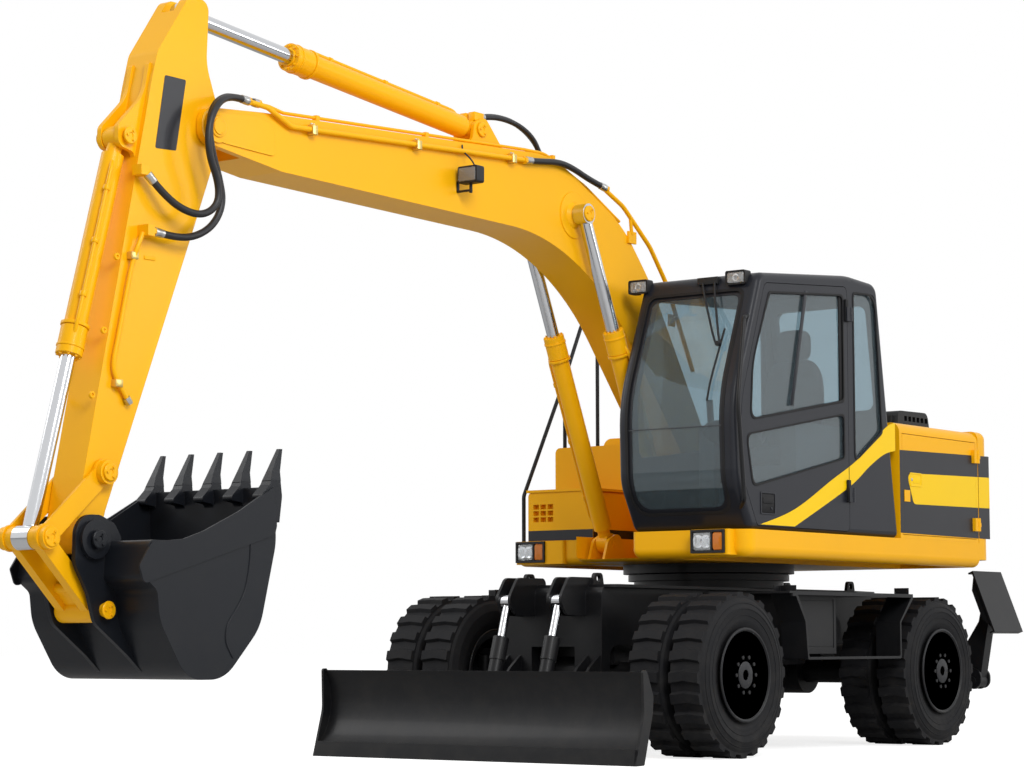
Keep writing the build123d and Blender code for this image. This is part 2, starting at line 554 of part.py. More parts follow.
def engine_hood():
    hood = block((-1662, -560), (-340, 340), (HOUSING_TOP - 20, HOUSING_TOP + 10))
    for side in (-1, 1):
        y = side * 240
        hood += pin(HOOD_HINGE, y - 40, y + 40, HINGE_PIN)
        for low in (y - 40, y + 14):
            leaf = pin(HOOD_HINGE, low, low + 26, HINGE_PIN + 8)
            leaf += side_plate([(-1666, 2242, 0), (-1655, 2222, 0), (-1600, 2222, 0), (-1600, 2240, 0), (-1664, 2262, 0)],
                               low, low + 26)
            hood += leaf
    return hood


TAIL_EDGE = -1680               # joint between the housings and the counterweight
COWL = {"y": 560, "width": 300, "height": 150, "slots": 6}


def air_cowl():
    top = HOUSING_TOP + COWL["height"]
    cowl = side_plate([(TAIL_EDGE + 2, HOUSING_TOP, 0), (-1180, HOUSING_TOP, 0), (-1200, top, 40), (-1640, top + 8, 60)],
                      COWL["y"], COWL["y"] + COWL["width"])
    for k in range(COWL["slots"]):
        x = -1640 + 62 * k
        cowl -= block((x, x + 42), (COWL["y"] + COWL["width"] - 30, COWL["y"] + COWL["width"] + 1), (top - 70, top - 34))
    return cowl


def engine_block():
    return block((-1450, -750), (-330, 330), (DECK_TOP, 2050))


CAB_SIDE = [(-495, DECK_TOP + SEAT, 30), (1440, DECK_TOP + SEAT, 60), (1605, 1720, 300), (1620, 2250, 900),
            (1300, 3065, 90), (150, 3170, 900), (-235, 3150, 90)]


def cab_outside(gap):
    outer = side_plate(offset(face_of(CAB_SIDE), gap), CAB_RIGHT - gap, CAB_LEFT + gap)
    # the long edges round the front and the roof
    rim = outer.edges().filter_by(lambda e: abs(e.center().Y - (CAB_LEFT + CAB_RIGHT) / 2) > 400
                                  and e.center().Z > 1500)
    return fillet(rim, CAB_ROUND)


def cab_shell():
    outer = cab_outside(0)
    inner = side_plate(offset(face_of(CAB_SIDE), -CAB_WALL), CAB_RIGHT + CAB_WALL, CAB_LEFT - CAB_WALL)
    return outer - inner


# x, z, corner radius of the openings in the left side
DOOR = [(190, 1450, 40), (1360, 1450, 40), (1530, 1760, 250), (1545, 2200, 800), (1240, 3000, 60), (190, 3085, 40)]
DOOR_UPPER = [(240, 2310, 40), (1430, 2110, 60), (1400, 2480, 600), (1190, 2950, 50), (240, 3030, 40)]
DOOR_LOWER = [(240, 1930, 40), (1410, 1690, 60), (1480, 2020, 60), (240, 2230, 40)]
QUARTER = [(-290, 2010, 60), (110, 1880, 60), (110, 3060, 50), (-200, 3075, 60)]
# y, z, corner radius of the windscreen and the rear window
WINDSCREEN = [(CAB_RIGHT + 70, 1530, 110), (CAB_LEFT - 90, 1530, 110), (CAB_LEFT - 90, 2960, 60),
              (CAB_RIGHT + 70, 2960, 60)]
REAR_WINDOW = [(CAB_RIGHT + 90, 2300, 60), (CAB_LEFT - 90, 2300, 60), (CAB_LEFT - 90, 3010, 60),
               (CAB_RIGHT + 90, 3010, 60)]
RIGHT_WINDOW = [(-150, 2100, 60), (1430, 1900, 60), (1440, 2300, 400), (1180, 2950, 60), (-150, 3020, 60)]
HATCH = [(250, CAB_RIGHT + 120, 60), (1050, CAB_RIGHT + 120, 60), (1050, CAB_LEFT - 120, 60), (250, CAB_LEFT - 120, 60)]


def cab_frame():
    cab = cab_shell()
    cab -= side_plate(offset(face_of(DOOR), 4), CAB_LEFT - CAB_WALL - 1, CAB_LEFT + 1)
    cab -= side_plate(QUARTER, CAB_LEFT - CAB_WALL - 1, CAB_LEFT + 1)
    cab -= front_plate(WINDSCREEN, 1150, 1700)
    cab -= front_plate(REAR_WINDOW, -600, -200)
    cab -= side_plate(RIGHT_WINDOW, CAB_RIGHT - 1, CAB_RIGHT + CAB_WALL + 1)
    cab -= top_plate(HATCH, 3000, 3300)
    x, y = DOOR_HINGE
    for low in (1675, 2885):
        cab += hinge_lug(DOOR_HINGE, low, low + 30, ((x - 45, x - 3), (CAB_LEFT - 5, y - 9)))
    return cab


def pane(inset):
    side = face_of(CAB_SIDE)
    return side_plate(offset(side, -inset), CAB_RIGHT + 5, CAB_LEFT - 5) - side_plate(
        offset(side, -inset - GLASS), CAB_RIGHT, CAB_LEFT)


def cab_glass():
    band = pane(15)
    glass = [band & front_plate(WINDSCREEN, 1150, 1700), band & front_plate(REAR_WINDOW, -600, -200),
             band & top_plate(HATCH, 3000, 3300),
             side_plate(QUARTER, CAB_LEFT - 21, CAB_LEFT - 15),
             side_plate(RIGHT_WINDOW, CAB_RIGHT + 15, CAB_RIGHT + 21)]
    return glass


def cab_door():
    door = side_plate(DOOR, CAB_LEFT - CAB_WALL, CAB_LEFT)
    door -= side_plate(DOOR_UPPER, CAB_LEFT - CAB_WALL - 1, CAB_LEFT + 1)
    door -= side_plate(DOOR_LOWER, CAB_LEFT - CAB_WALL - 1, CAB_LEFT + 1)
    x, y = DOOR_HINGE
    for low in (1675, 2885):
        door += hinge_leaf(DOOR_HINGE, low, low + 30, ((x + 3, x + 55), (CAB_LEFT + 2, y + 10)))
        door += block((x + 20, x + 55), (CAB_LEFT - 5, y + 10), (low - 32, low + 62))
    return door


def cab_door_glass():
    return [side_plate(rows, CAB_LEFT - 21, CAB_LEFT - 15) for rows in (DOOR_UPPER, DOOR_LOWER)]


def cab_seat():
    y = (CAB_RIGHT + CAB_LEFT) / 2
    seat = block((150, 620), (y - 230, y + 230), (1900, 2020)) + block((90, 200), (y - 220, y + 220), (1950, 2600))
    seat += block((110, 190), (y - 130, y + 130), (2600, 2820)) + block((200, 560), (y - 200, y + 200), (CAB_FLOOR, 1905))
    return seat


def cab_controls():
    y = (CAB_RIGHT + CAB_LEFT) / 2
    column = bar((1072, y, 1500), (930, y, 2060), 40) + block((1010, 1130), (y - 60, y + 60), (CAB_FLOOR, 1530)) + bar((936, y, 2050), (922, y, 2090), 190)
    for side in (-1, 1):
        centre = y + side * 310
        column += block((180, 760), (centre - 60, centre + 60), (CAB_FLOOR, 2150))
        column += bar((700, centre, 2140), (720, centre, 2330), 22)
    return [solid for solid in column.solids()]


ROOF_LAMP = {"width": 150, "height": 92, "depth": 70, "x": 1355, "z": 2990, "y": (335, 1085)}


def headlamps():
    lamps = []
    edge = SEAT * 2
    for x, y in (LAMP_LEFT, LAMP_RIGHT):
        lamp = block((x - LAMP["depth"] + edge, x + 14), (y + edge, y + LAMP["width"] - edge),
                     (LAMP["low"] + edge, LAMP["low"] + LAMP["height"] - edge))
        for start, end in ((14, 150), (160, 236)):
            lamp -= block((x - 20, x + 20), (y + start, y + end), (LAMP["low"] + 16, LAMP["low"] + LAMP["height"] - 16))
        lamps.append(lamp)
    # work lamps on brackets at the front of the cab's roof
    roof = side_plate(offset(face_of(CAB_SIDE), SEAT), CAB_RIGHT - 30, CAB_LEFT + 10)
    x, z = ROOF_LAMP["x"], ROOF_LAMP["z"]
    for y in ROOF_LAMP["y"]:
        half = ROOF_LAMP["width"] / 2
        lamp = block((x - ROOF_LAMP["depth"], x), (y - half, y + half), (z, z + ROOF_LAMP["height"]))
        lamp = fillet(lamp.edges().filter_by(Axis.X), 14)
        lamp -= block((x - 12, x + 1), (y - half + 10, y + half - 10), (z + 10, z + ROOF_LAMP["height"] - 10))
        lamp += block((x - 190, x - 60), (y - 12, y + 12), (z + 30, z + 54))
        lamps.append(lamp - roof)
    return lamps


RAIL = {"x": 572, "y": -1180, "radius": 14}


def handrails():
    x, y = RAIL["x"], RAIL["y"]
    rail = tube([(x, y, DECK_TOP + SEAT), (x, y, 1750), (105, y, 2560), (-150, y, 3050), (-345, y, 3060),
                 (-345, y, 2120 + SEAT)], [60, 200, 60, 60], RAIL["radius"])
    leg = bar((70, y, 2120 + SEAT), (70, y, 2640), RAIL["radius"])
    # grab rail outside the left windscreen pillar
    grab = tube([(1400, 1200, 2775), (1545, 1268, 2748), (1632, 1270, 2210), (1562, 1268, 1600), (1480, 1180, 1545)],
                [40, 400, 40], RAIL["radius"])
    return [rail, leg, grab - cab_outside(SEAT)]


# ---------------------------------------------------------------- boom, stick and bucket
BOOM_SIDE = [(330, 1707, 60), (1720, 3300, 1750), (4640, 3345, 200), (5090, 3400, 60), (5285, 3425, 80),
             (5285, 3610, 90), (4800, 3655, 300), (2050, 3825, 900), (1270, 3470, 900), (930, 3108, 1800),
             (105, 1865, 60), (140, 1700, 60)]


# doubler that carries the stick's hinge
NOSE_PLATE = [(4700, 3420, 30), (5100, 3432, 40), (5262, 3450, 60), (5262, 3590, 60), (4880, 3622, 80), (4720, 3600, 40)]


def boom():
    side = face_of(BOOM_SIDE)
    arm = side_plate(side, -BOOM_HALF, BOOM_HALF)
    hollow = side_plate(offset(side, -PLATE), -BOOM_HALF + PLATE, BOOM_HALF - PLATE)
    arm -= hollow & block((450, 4850), (-200, 200), (1500, 4000))
    arm -= block((4980, 5400), (-STICK_HALF - 6, STICK_HALF + 6), (3200, 3800))
    arm -= pin(STICK_HINGE, -STICK_HALF - 6, STICK_HALF + 6, STICK_SWEEP)
    arm += pin(BOOM_FOOT, -BOOM_HALF, BOOM_HALF, 130) + pin(BOOM_FOOT, -BOOM_HALF - 40, BOOM_HALF + 40, 45)
    edge = BOOM_CYLINDER_Y - BOOM_CYLINDER[7] - 0.5
    cone = loft([Pos(0, BOOM_HALF + 2, 0) * ring_face(BOOM_EYE, 92), Pos(0, edge - 8, 0) * ring_face(BOOM_EYE, 62)])
    for piece in (pin(BOOM_EYE, BOOM_HALF - 20, edge, 58), pin(BOOM_EYE, BOOM_HALF - 2, BOOM_HALF + 7, 150), cone,
                  pin(STICK_HINGE, BOOM_HALF - 2, BOOM_HALF + 14, 88),
                  side_plate(NOSE_PLATE, BOOM_HALF - 2, BOOM_HALF + 8)):
        for half in both(piece):
            arm += half
    arm -= pin(STICK_HINGE, -300, 300, 45 + SEAT)
    x, z = STICK_BASE
    ear = [(x - 260, z - 130, 0), (x + 200, z - 150, 0), (x + 88, z - 65, 30), (x + 70, z + 40, 50),
           (x - 40, z + 85, 60)]
    inner = STICK_CYLINDER[5] + 6
    for plate in both(side_plate(ear, inner, inner + 24)):
        arm += plate
    arm -= pin(STICK_BASE, -200, 200, PIN + SEAT)
    return arm


STICK_SIDE = [(5195, 4080, 0), (5190, 4215, 60), (5345, 4215, 70), (5580, 3870, 80), (5625, 3690, 300),
              (6080, 1560, 100), (6145, 1200, 80), (5990, 1165, 70), (5920, 1400, 100), (5290, 2950, 400),
              (5140, 3330, 250), (5075, 3540, 90), (5205, 3860, 300)]


def stick():
    side = face_of(STICK_SIDE)
    arm = side_plate(side, -STICK_HALF, STICK_HALF)
    hollow = side_plate(offset(side, -PLATE), -STICK_HALF + PLATE, STICK_HALF - PLATE)
    arm -= hollow & block((5000, 6300), (-200, 200), (1760, 3200))
    slot = STICK_CYLINDER[7] + 0.5
    arm -= block((5100, 5400), (-slot, slot), (3985, 4300))
    arm += pin(STICK_HINGE, -STICK_HALF - 80, STICK_HALF + 80, 45)
    arm += pin(BUCKET_PIVOT, -STICK_HALF - 16, STICK_HALF + 16, 70)
    x, z = BUCKET_BASE
    ear = [(x - 196, z + 430, 0), (x - 155, z + 420, 10), (x - 120, z + 240, 200), (x + 66, z + 52, 50),
           (x + 66, z - 56, 50), (x - 45, z - 78, 30), (x - 100, z - 220, 0), (x - 150, z - 180, 0)]
    for plate in both(side_plate(ear, BUCKET_CYLINDER[5] + 5, BUCKET_CYLINDER[5] + 35)):
        arm += plate
    arm -= pin(BUCKET_BASE, -200, 200, PIN + SEAT)
    arm -= pin(BUCKET_PIVOT, -300, 300, 35 + SEAT) + pin(ROCKER_PIN, -300, 300, 35 + SEAT)
    return arm


def bar_plate(start, end, width, low, high):
    dx, dz = end[0] - start[0], end[1] - start[1]
    length = math.hypot(dx, dz)
    nx, nz = -dz / length * width, dx / length * width
    plate = side_plate([(start[0] + nx, start[1] + nz, 0), (end[0] + nx, end[1] + nz, 0),
                        (end[0] - nx, end[1] - nz, 0), (start[0] - nx, start[1] - nz, 0)], low, high)
    return plate + pin(start, low, high, width * 1.25) + pin(end, low, high, width * 1.25)


ROCKER_IN = STICK_HALF + 6
ROCKER_OUT = ROCKER_IN + 18
EAR_IN = ROCKER_OUT + 6
EAR_OUT = EAR_IN + 26


def rocker():
    plates = pin(ROCKER_PIN, -ROCKER_OUT - 40, ROCKER_OUT + 40, 35)
    side = bar_plate(ROCKER_PIN, BUCKET_EYE, 55, ROCKER_IN, ROCKER_OUT)
    side += pin(ROCKER_PIN, ROCKER_OUT - 2, ROCKER_OUT + 36, 62) + pin(BUCKET_EYE, ROCKER_OUT - 2, ROCKER_OUT + 36, 60)
    for half in both(side):
        plates += half
    return plates


def bucket_link():
    link = pin(BUCKET_LINK, -EAR_OUT - 30, EAR_OUT + 30, 35) + pin(BUCKET_LINK, -EAR_IN + 6, EAR_IN - 6, 64)
    side = bar_plate(BUCKET_LINK, BUCKET_EYE, 48, BUCKET_CYLINDER[7] + 0.5, ROCKER_IN - 0.5)
    for half in both(side):
        link += half
    middle = ((BUCKET_LINK[0] + BUCKET_EYE[0]) / 2, (BUCKET_LINK[1] + BUCKET_EYE[1]) / 2)
    link += bar_plate(BUCKET_LINK, along(BUCKET_LINK, middle, 160), 20, -80, 80)
    return link


BUCKET_SIDE = [(5030, 1550, 0), (5010, 1250, 300), (5130, 800, 300), (5400, 530, 250), (5680, 530, 200),
               (5880, 830, 250), (5900, 985, 50), (5985, 1045, 40), (5965, 1240, 40), (5600, 1240, 400)]
BUCKET_INSIDE = [(5048, 1800, 0), (5028, 1250, 285), (5146, 810, 285), (5408, 548, 235), (5672, 548, 185),
                 (5864, 835, 235), (5884, 1000, 50), (5940, 1060, 0), (5930, 1800, 0)]


TOOTH = {"width": 70, "tip": 22, "neck": 44, "root_z": 1590, "tip_z": 1757}


# an adapter that straps the lip on both sides, and the pointed tooth on its nose
def bucket_tooth():
    strap = [(4985, 1360, 0), (5012, 1360, 30), (5040, 1470, 20), (5120, 1480, 0), (5128, 1500, 20), (5062, 1560, 30),
             (5046, TOOTH["root_z"], 0), (4978, TOOTH["root_z"] - 4, 0), (4965, 1500, 60)]
    adapter = side_plate(strap, -TOOTH["width"] / 2, TOOTH["width"] / 2)
    levels = ((0, 5013, 40, TOOTH["width"] / 2 - 2), (0.3, 4999, 30, TOOTH["neck"] / 2), (1, 4950, 11, TOOTH["tip"] / 2))
    faces = []
    for share, x, half_x, half_y in levels:
        z = TOOTH["root_z"] - 8 + (TOOTH["tip_z"] - TOOTH["root_z"] + 8) * share
        faces.append(Pos(x, 0, z) * Rectangle(2 * half_x, 2 * half_y))
    return adapter, loft(faces, ruled=True)


def bucket():
    shell = side_plate(BUCKET_SIDE, -BUCKET_HALF, BUCKET_HALF)
    shell -= side_plate(BUCKET_INSIDE, -BUCKET_HALF + 20, BUCKET_HALF - 20)
    ear = [(5850, 1250, 20), (5905, 1330, 60), (6010, 1372, 90), (6175, 1370, 110), (6180, 1120, 110), (6085, 970, 80),
           (6035, 820, 90), (5800, 655, 300), (5698, 570, 0), (5872, 832, 240), (5892, 993, 50), (5985, 1060, 30),
           (5960, 1160, 60)]
    for piece in (side_plate(ear, EAR_IN, EAR_OUT), pin(BUCKET_PIVOT, EAR_OUT - 2, EAR_OUT + 26, 100),
                  pin(BUCKET_LINK, EAR_IN, EAR_OUT, 80)):
        for half in both(piece):
            shell += half
    shell += pin(BUCKET_PIVOT, -EAR_OUT - 45, EAR_OUT + 45, 35)
    shell -= pin(BUCKET_LINK, -300, 300, 35 + SEAT)
    # side plate: a thicker band along the opening, down to the hinge
    band = [(5042, 1545, 0), (5316, 1404, 300), (5575, 1295, 200), (5720, 1251, 60), (5949, 1228, 20), (6036, 1107, 20),
            (6000, 1016, 30), (5028, 1290, 20), (5012, 1340, 0), (5028, 1545, 0)]
    for half in both(side_plate(band, BUCKET_HALF - 2, BUCKET_HALF + 8)):
        shell += half
    spacing = (2 * BUCKET_HALF - TOOTH["width"]) / (TOOTH_COUNT - 1)
    adapter, tip = bucket_tooth()
    for k in range(TOOTH_COUNT):
        place = Pos(0, -BUCKET_HALF + TOOTH["width"] / 2 + k * spacing, 0)
        shell += place * adapter
        shell += place * tip
    return shell


# ---------------------------------------------------------------- pipes and hoses of the arm
PIPE = {"web_radius": 15, "top_radius": 10, "web_y": BOOM_HALF + 25, "top_y": 112}
# x, z of the web pipe's corners
WEB_PIPE = [(470, 2560), (791, 3137), (983, 3358), (1300, 3592), (1500, 3672)]
WEB_PIPE_FRONT = [(2390, 3742), (4590, 3606), (4790, 3682), (4935, 3690)]
TOP_PIPE = [(1240, 3505), (1640, 3690), (2080, 3838), (2300, 3832), (4580, 3694), (4700, 3712), (4780, 3712)]
CLAMPS = (2525, 3470, 4412)
HOSE_RADIUS = 20
# x, y, z of the hoses' points
HOSE_STICK_A = [(4985, 190, 3692), (5110, 215, 3692), (5262, 252, 3630), (5345, 264, 3490), (5345, 266, 3330),
                (5262, 266, 3180), (5265, 264, 3060), (5370, 250, 2990), (5500, 222, 3010), (5610, 190, 3085),
                (5680, 168, 3160)]
HOSE_STICK_B = [(4830, 118, 3712), (4990, 136, 3712), (5130, 168, 3690), (5255, 206, 3610), (5290, 214, 3480),
                (5262, 214, 3350), (5205, 214, 3220), (5172, 214, 3090), (5235, 210, 2965), (5360, 200, 2885),
                (5500, 184, 2862), (5620, 172, 2875)]
HOSE_WEB = [(1540, 188, 3690), (1680, 190, 3712), (1900, 192, 3768), (2050, 190, 3780), (2230, 186, 3756), (2350, 185, 3745)]


# each arc takes as much of its two runs as it can
def hose(points, radius, name):
    radii = []
    for a, b, c in zip(points, points[1:], points[2:]):
        before, after = Vector(*b) - Vector(*a), Vector(*c) - Vector(*b)
        half_turn = math.radians(before.get_angle(after) / 2)
        radii.append(0.45 * min(before.length, after.length) / math.tan(half_turn))
    print(name, "radii", [round(value) for value in radii])
    return tube(points, radii, radius)


# the swaged end of a hose with its nut, in line with the hose's first run
def fitting(end, after, radius, length):
    axis = (Vector(*end) - Vector(*after)).normalized()
    start = Vector(*end) + axis * length
    nut = extrude(Plane(origin=start, z_dir=-axis) * RegularPolygon(radius, 6), length * 0.5)
    return nut + bar(tuple(start - axis * length * 0.4), end, radius * 0.86)


def boom_pipes():
    y = PIPE["web_y"]
    web = [(x, y, z) for x, z in WEB_PIPE]
    front = [(x, y, z) for x, z in WEB_PIPE_FRONT]
    top = [(x, PIPE["top_y"], z) for x, z in TOP_PIPE]
    pipes = [tube(web, [400, 400, 300], PIPE["web_radius"]), tube(front, [90, 90], PIPE["web_radius"]),
             tube(top, [500, 300, 200, 60, 60], PIPE["top_radius"])]
    joined = pipes[0]
    for pipe in pipes[1:]:
        joined += pipe
    for x in CLAMPS:
        z = 3742 - (x - 2390) * 0.0618
        joined += block((x - 20, x + 20), (BOOM_HALF + SEAT, y + 22), (z - 30, z + 26))
    # stay that carries the rear pipe over the boom's bend
    joined += bar((1180, BOOM_HALF + 12, 3420), (1215, y, 3530), 12)
    joined += block((1130, 1220), (BOOM_HALF + SEAT, BOOM_HALF + 16), (3360, 3440))
    joined += bar((700, BOOM_HALF + 12, 2900), (672, y, 2925), 12)
    joined += block((670, 740), (BOOM_HALF + SEAT, BOOM_HALF + 16), (2850, 2930))
    for first, second in (HOSE_WEB[:2], HOSE_WEB[:-3:-1], HOSE_STICK_A[:2], HOSE_STICK_B[:2]):
        joined += fitting(first, second, 24, 54)
    # blocks that carry the top pipe
    for x, low, z in ((2000, 3790, 3826), (3300, 3749, 3772), (4300, 3687, 3712)):
        joined += block((x - 15, x + 15), (PIPE["top_y"] - 16, PIPE["top_y"] + 16), (low + SEAT, z + 12))
    return joined


# bulkheads on the stick where the two hoses end
def stick_ports():
    ports = block((5700, 5760), (STICK_HALF + SEAT, 180), (3170, 3225))
    ports += fitting(HOSE_STICK_A[-1], HOSE_STICK_A[-2], 24, 54)
    low = block((5665, 5715), (STICK_HALF + SEAT, 190), (2850, 2910))
    low += fitting(HOSE_STICK_B[-1], HOSE_STICK_B[-2], 24, 54)
    return [ports, low]


# ---------------------------------------------------------------- write
save("chassis_frame", chassis_frame() + stabiliser_frame())
save("front_axle", front_axle())
save("rear_axle", rear_axle())
save("steps", *both(steps()))
for side, name in ((1, "left"), (-1, "right")):
    half = knuckle()
    save(f"knuckle_{name}", half if side > 0 else mirror(half, about=Plane.XZ))
one_tyre = tyre()
wheel = rims()
for axle in ("front", "rear"):
    for side, name in ((1, "left"), (-1, "right")):
        place = Pos(AXLE_X[axle], 0, AXLE_Z)
        save(f"tyres_{axle}_{name}", *[place * Pos(0, side * y, 0) * one_tyre for y in (TWIN_INNER_Y, TWIN_OUTER_Y)])
        save(f"rims_{axle}_{name}", place * (wheel if side > 0 else mirror(wheel, about=Plane.XZ)))
save("blade", blade())
pairs = [cylinder(BLADE_BASE, BLADE_EYE, side * BLADE_CYLINDER_Y, BLADE_CYLINDER, in_side_view) for side in (1, -1)]
save("blade_barrels", *[pair[0] for pair in pairs])
save("blade_rods", *[pair[1] for pair in pairs])
leg = stabiliser()
barrel, rod = cylinder(STABILISER_BASE, LEG_LUG, LEG_X, STABILISER_CYLINDER, in_rear_view)
for side, name in ((1, "left"), (-1, "right")):
    for node, shape in (("stabiliser", leg), ("stabiliser_barrel", barrel), ("stabiliser_rod", rod)):
        save(f"{node}_{name}", shape if side > 0 else mirror(shape, about=Plane.XZ))
save("upper_frame", upper_frame())
save("slew_ring", slew_ring())
save("counterweight", counterweight())
save("left_housing", left_housing())
save("right_housing", right_housing())
save("side_door_left", side_door(1))
save("side_door_right", side_door(-1))
save("engine_hood", engine_hood())
save("air_cowl", air_cowl())
save("engine_block", engine_block())
save("cab_frame", cab_frame())
save("cab_glass", *cab_glass())
save("cab_door", cab_door())
save("cab_door_glass", *cab_door_glass())
save("cab_seat", cab_seat())
save("cab_controls", *cab_controls())
save("headlamps", *headlamps())
save("handrails", *handrails())
save("boom", boom())
save("boom_pipes", *boom_pipes().solids())
save("stick_ports", *stick_ports())
save("hose_stick_a", hose(HOSE_STICK_A, HOSE_RADIUS, "hose_stick_a"))
save("hose_stick_b", hose(HOSE_STICK_B, HOSE_RADIUS, "hose_stick_b"))
save("hose_boom", hose(HOSE_WEB, HOSE_RADIUS, "hose_boom"))
pairs = [cylinder(BOOM_BASE, BOOM_EYE, side * BOOM_CYLINDER_Y, BOOM_CYLINDER, in_side_view) for side in (1, -1)]
save("boom_barrels", *[pair[0] for pair in pairs])
save("boom_rods", *[pair[1] for pair in pairs])
barrel, rod = cylinder(STICK_BASE, STICK_EYE, 0, STICK_CYLINDER, in_side_view)
save("stick_barrel", barrel)
save("stick_rod", rod)
save("stick", stick())
barrel, rod = cylinder(BUCKET_BASE, BUCKET_EYE, 0, BUCKET_CYLINDER, in_side_view)
save("bucket_barrel", barrel)
save("bucket_rod", rod)
save("rocker", rocker())
save("bucket_link", bucket_link())
save("bucket", bucket())
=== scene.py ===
import bpy
import bmesh
import json
import math
from mathutils import Matrix, Vector


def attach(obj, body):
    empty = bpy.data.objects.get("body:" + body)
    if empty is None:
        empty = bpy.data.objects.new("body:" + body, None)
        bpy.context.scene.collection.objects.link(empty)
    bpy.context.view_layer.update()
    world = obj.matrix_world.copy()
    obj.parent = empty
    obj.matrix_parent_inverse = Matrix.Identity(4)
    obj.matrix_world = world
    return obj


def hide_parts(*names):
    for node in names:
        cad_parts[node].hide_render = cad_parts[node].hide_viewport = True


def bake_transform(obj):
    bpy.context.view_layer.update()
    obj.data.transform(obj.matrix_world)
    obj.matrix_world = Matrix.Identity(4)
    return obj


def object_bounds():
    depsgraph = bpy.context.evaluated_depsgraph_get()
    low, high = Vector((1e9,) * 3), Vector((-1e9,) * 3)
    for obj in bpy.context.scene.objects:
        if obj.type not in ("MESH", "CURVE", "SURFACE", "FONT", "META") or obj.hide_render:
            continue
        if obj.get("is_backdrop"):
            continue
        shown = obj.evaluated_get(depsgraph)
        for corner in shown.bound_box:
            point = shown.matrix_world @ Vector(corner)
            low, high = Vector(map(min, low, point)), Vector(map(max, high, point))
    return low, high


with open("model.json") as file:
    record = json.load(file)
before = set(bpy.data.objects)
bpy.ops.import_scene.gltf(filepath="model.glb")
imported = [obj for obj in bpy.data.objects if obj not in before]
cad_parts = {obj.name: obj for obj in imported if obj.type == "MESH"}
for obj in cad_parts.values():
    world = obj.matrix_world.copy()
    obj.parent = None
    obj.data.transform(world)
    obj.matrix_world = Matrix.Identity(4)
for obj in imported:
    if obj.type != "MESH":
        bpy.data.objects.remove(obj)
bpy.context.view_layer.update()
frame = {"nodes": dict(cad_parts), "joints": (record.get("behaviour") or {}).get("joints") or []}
joints = {joint["name"]: joint for joint in frame["joints"]}
slewX = joints["slew"]["pos_m"][0]
print("frame loaded:", len(frame["nodes"]), "nodes")


# metres from the slew axis, as the machine's drawings give them
def at(x, y, z):
    return Vector((x + slewX, y, z))


def placeObject(name, data):
    thing = bpy.data.objects.new(name, data)
    bpy.context.scene.collection.objects.link(thing)
    return thing


# gives a node its inputs: plain values, or outputs of other nodes
def setInputs(tree, node, inputs):
    for key, value in inputs.items():
        if isinstance(value, bpy.types.NodeSocket):
            tree.links.new(value, node.inputs[key])
        else:
            node.inputs[key].default_value = value
    return node


def addNode(tree, kind, inputs):
    return setInputs(tree, tree.nodes.new(kind), inputs)


def mathNode(tree, operation, *values, clamp=False):
    node = tree.nodes.new("ShaderNodeMath")
    node.operation = operation
    node.use_clamp = clamp
    return setInputs(tree, node, dict(enumerate(values))).outputs[0]


def mixColours(tree, factor, first, second):
    node = tree.nodes.new("ShaderNodeMix")
    node.data_type = "RGBA"
    return setInputs(tree, node, {"Factor": factor, "A": first, "B": second}).outputs["Result"]


def newMaterial(name):
    material = bpy.data.materials.new(name)
    material.use_nodes = True
    return material, material.node_tree, material.node_tree.nodes["Principled BSDF"]


# studio: camera, floor and soft light
studio = {
    "eye": (15.372, 9.817, 0.7245),      # from the slew axis
    "heading": 216.87,                   # degrees from +X, seen from above
    "pitch": 5.61,
    "roll": -0.09,
    "lens": 91.43,
    "sensorWidth": 36,
    "clip": (0.1, 200),
    "floorReach": 90,
    "floorColour": (0.62, 0.62, 0.62, 1),
    "floorRoughness": 0.9,
    "floorGlow": 0.78,                   # lifts the floor to white where the camera sees it
    "white": (1, 1, 1, 1),
    "black": (0, 0, 0, 1),
    "worldStrength": 0.50,
    "lampSize": 6.0,
    "lamps": (
        # name, place, aim, watts
        ("keyLamp", (9, 10, 9), (0.5, 0, 1.6), 1050),
        ("sideLamp", (-5, 13, 6), (-0.5, 0, 1.2), 430),
        ("farLamp", (8, -9, 8), (1.5, 0, 2.0), 330),
    ),
}


def makeCamera():
    heading, pitch = math.radians(studio["heading"]), math.radians(studio["pitch"])
    look = Vector((math.cos(heading) * math.cos(pitch), math.sin(heading) * math.cos(pitch), math.sin(pitch)))
    camera = placeObject("camera", bpy.data.cameras.new("camera"))
    camera.data.lens = studio["lens"]
    camera.data.sensor_width = studio["sensorWidth"]
    camera.data.clip_start, camera.data.clip_end = studio["clip"]
    camera.location = at(*studio["eye"])
    turn = look.to_track_quat("-Z", "Y").to_matrix() @ Matrix.Rotation(math.radians(studio["roll"]), 3, "Z")
    camera.rotation_euler = turn.to_euler()
    bpy.context.scene.camera = camera


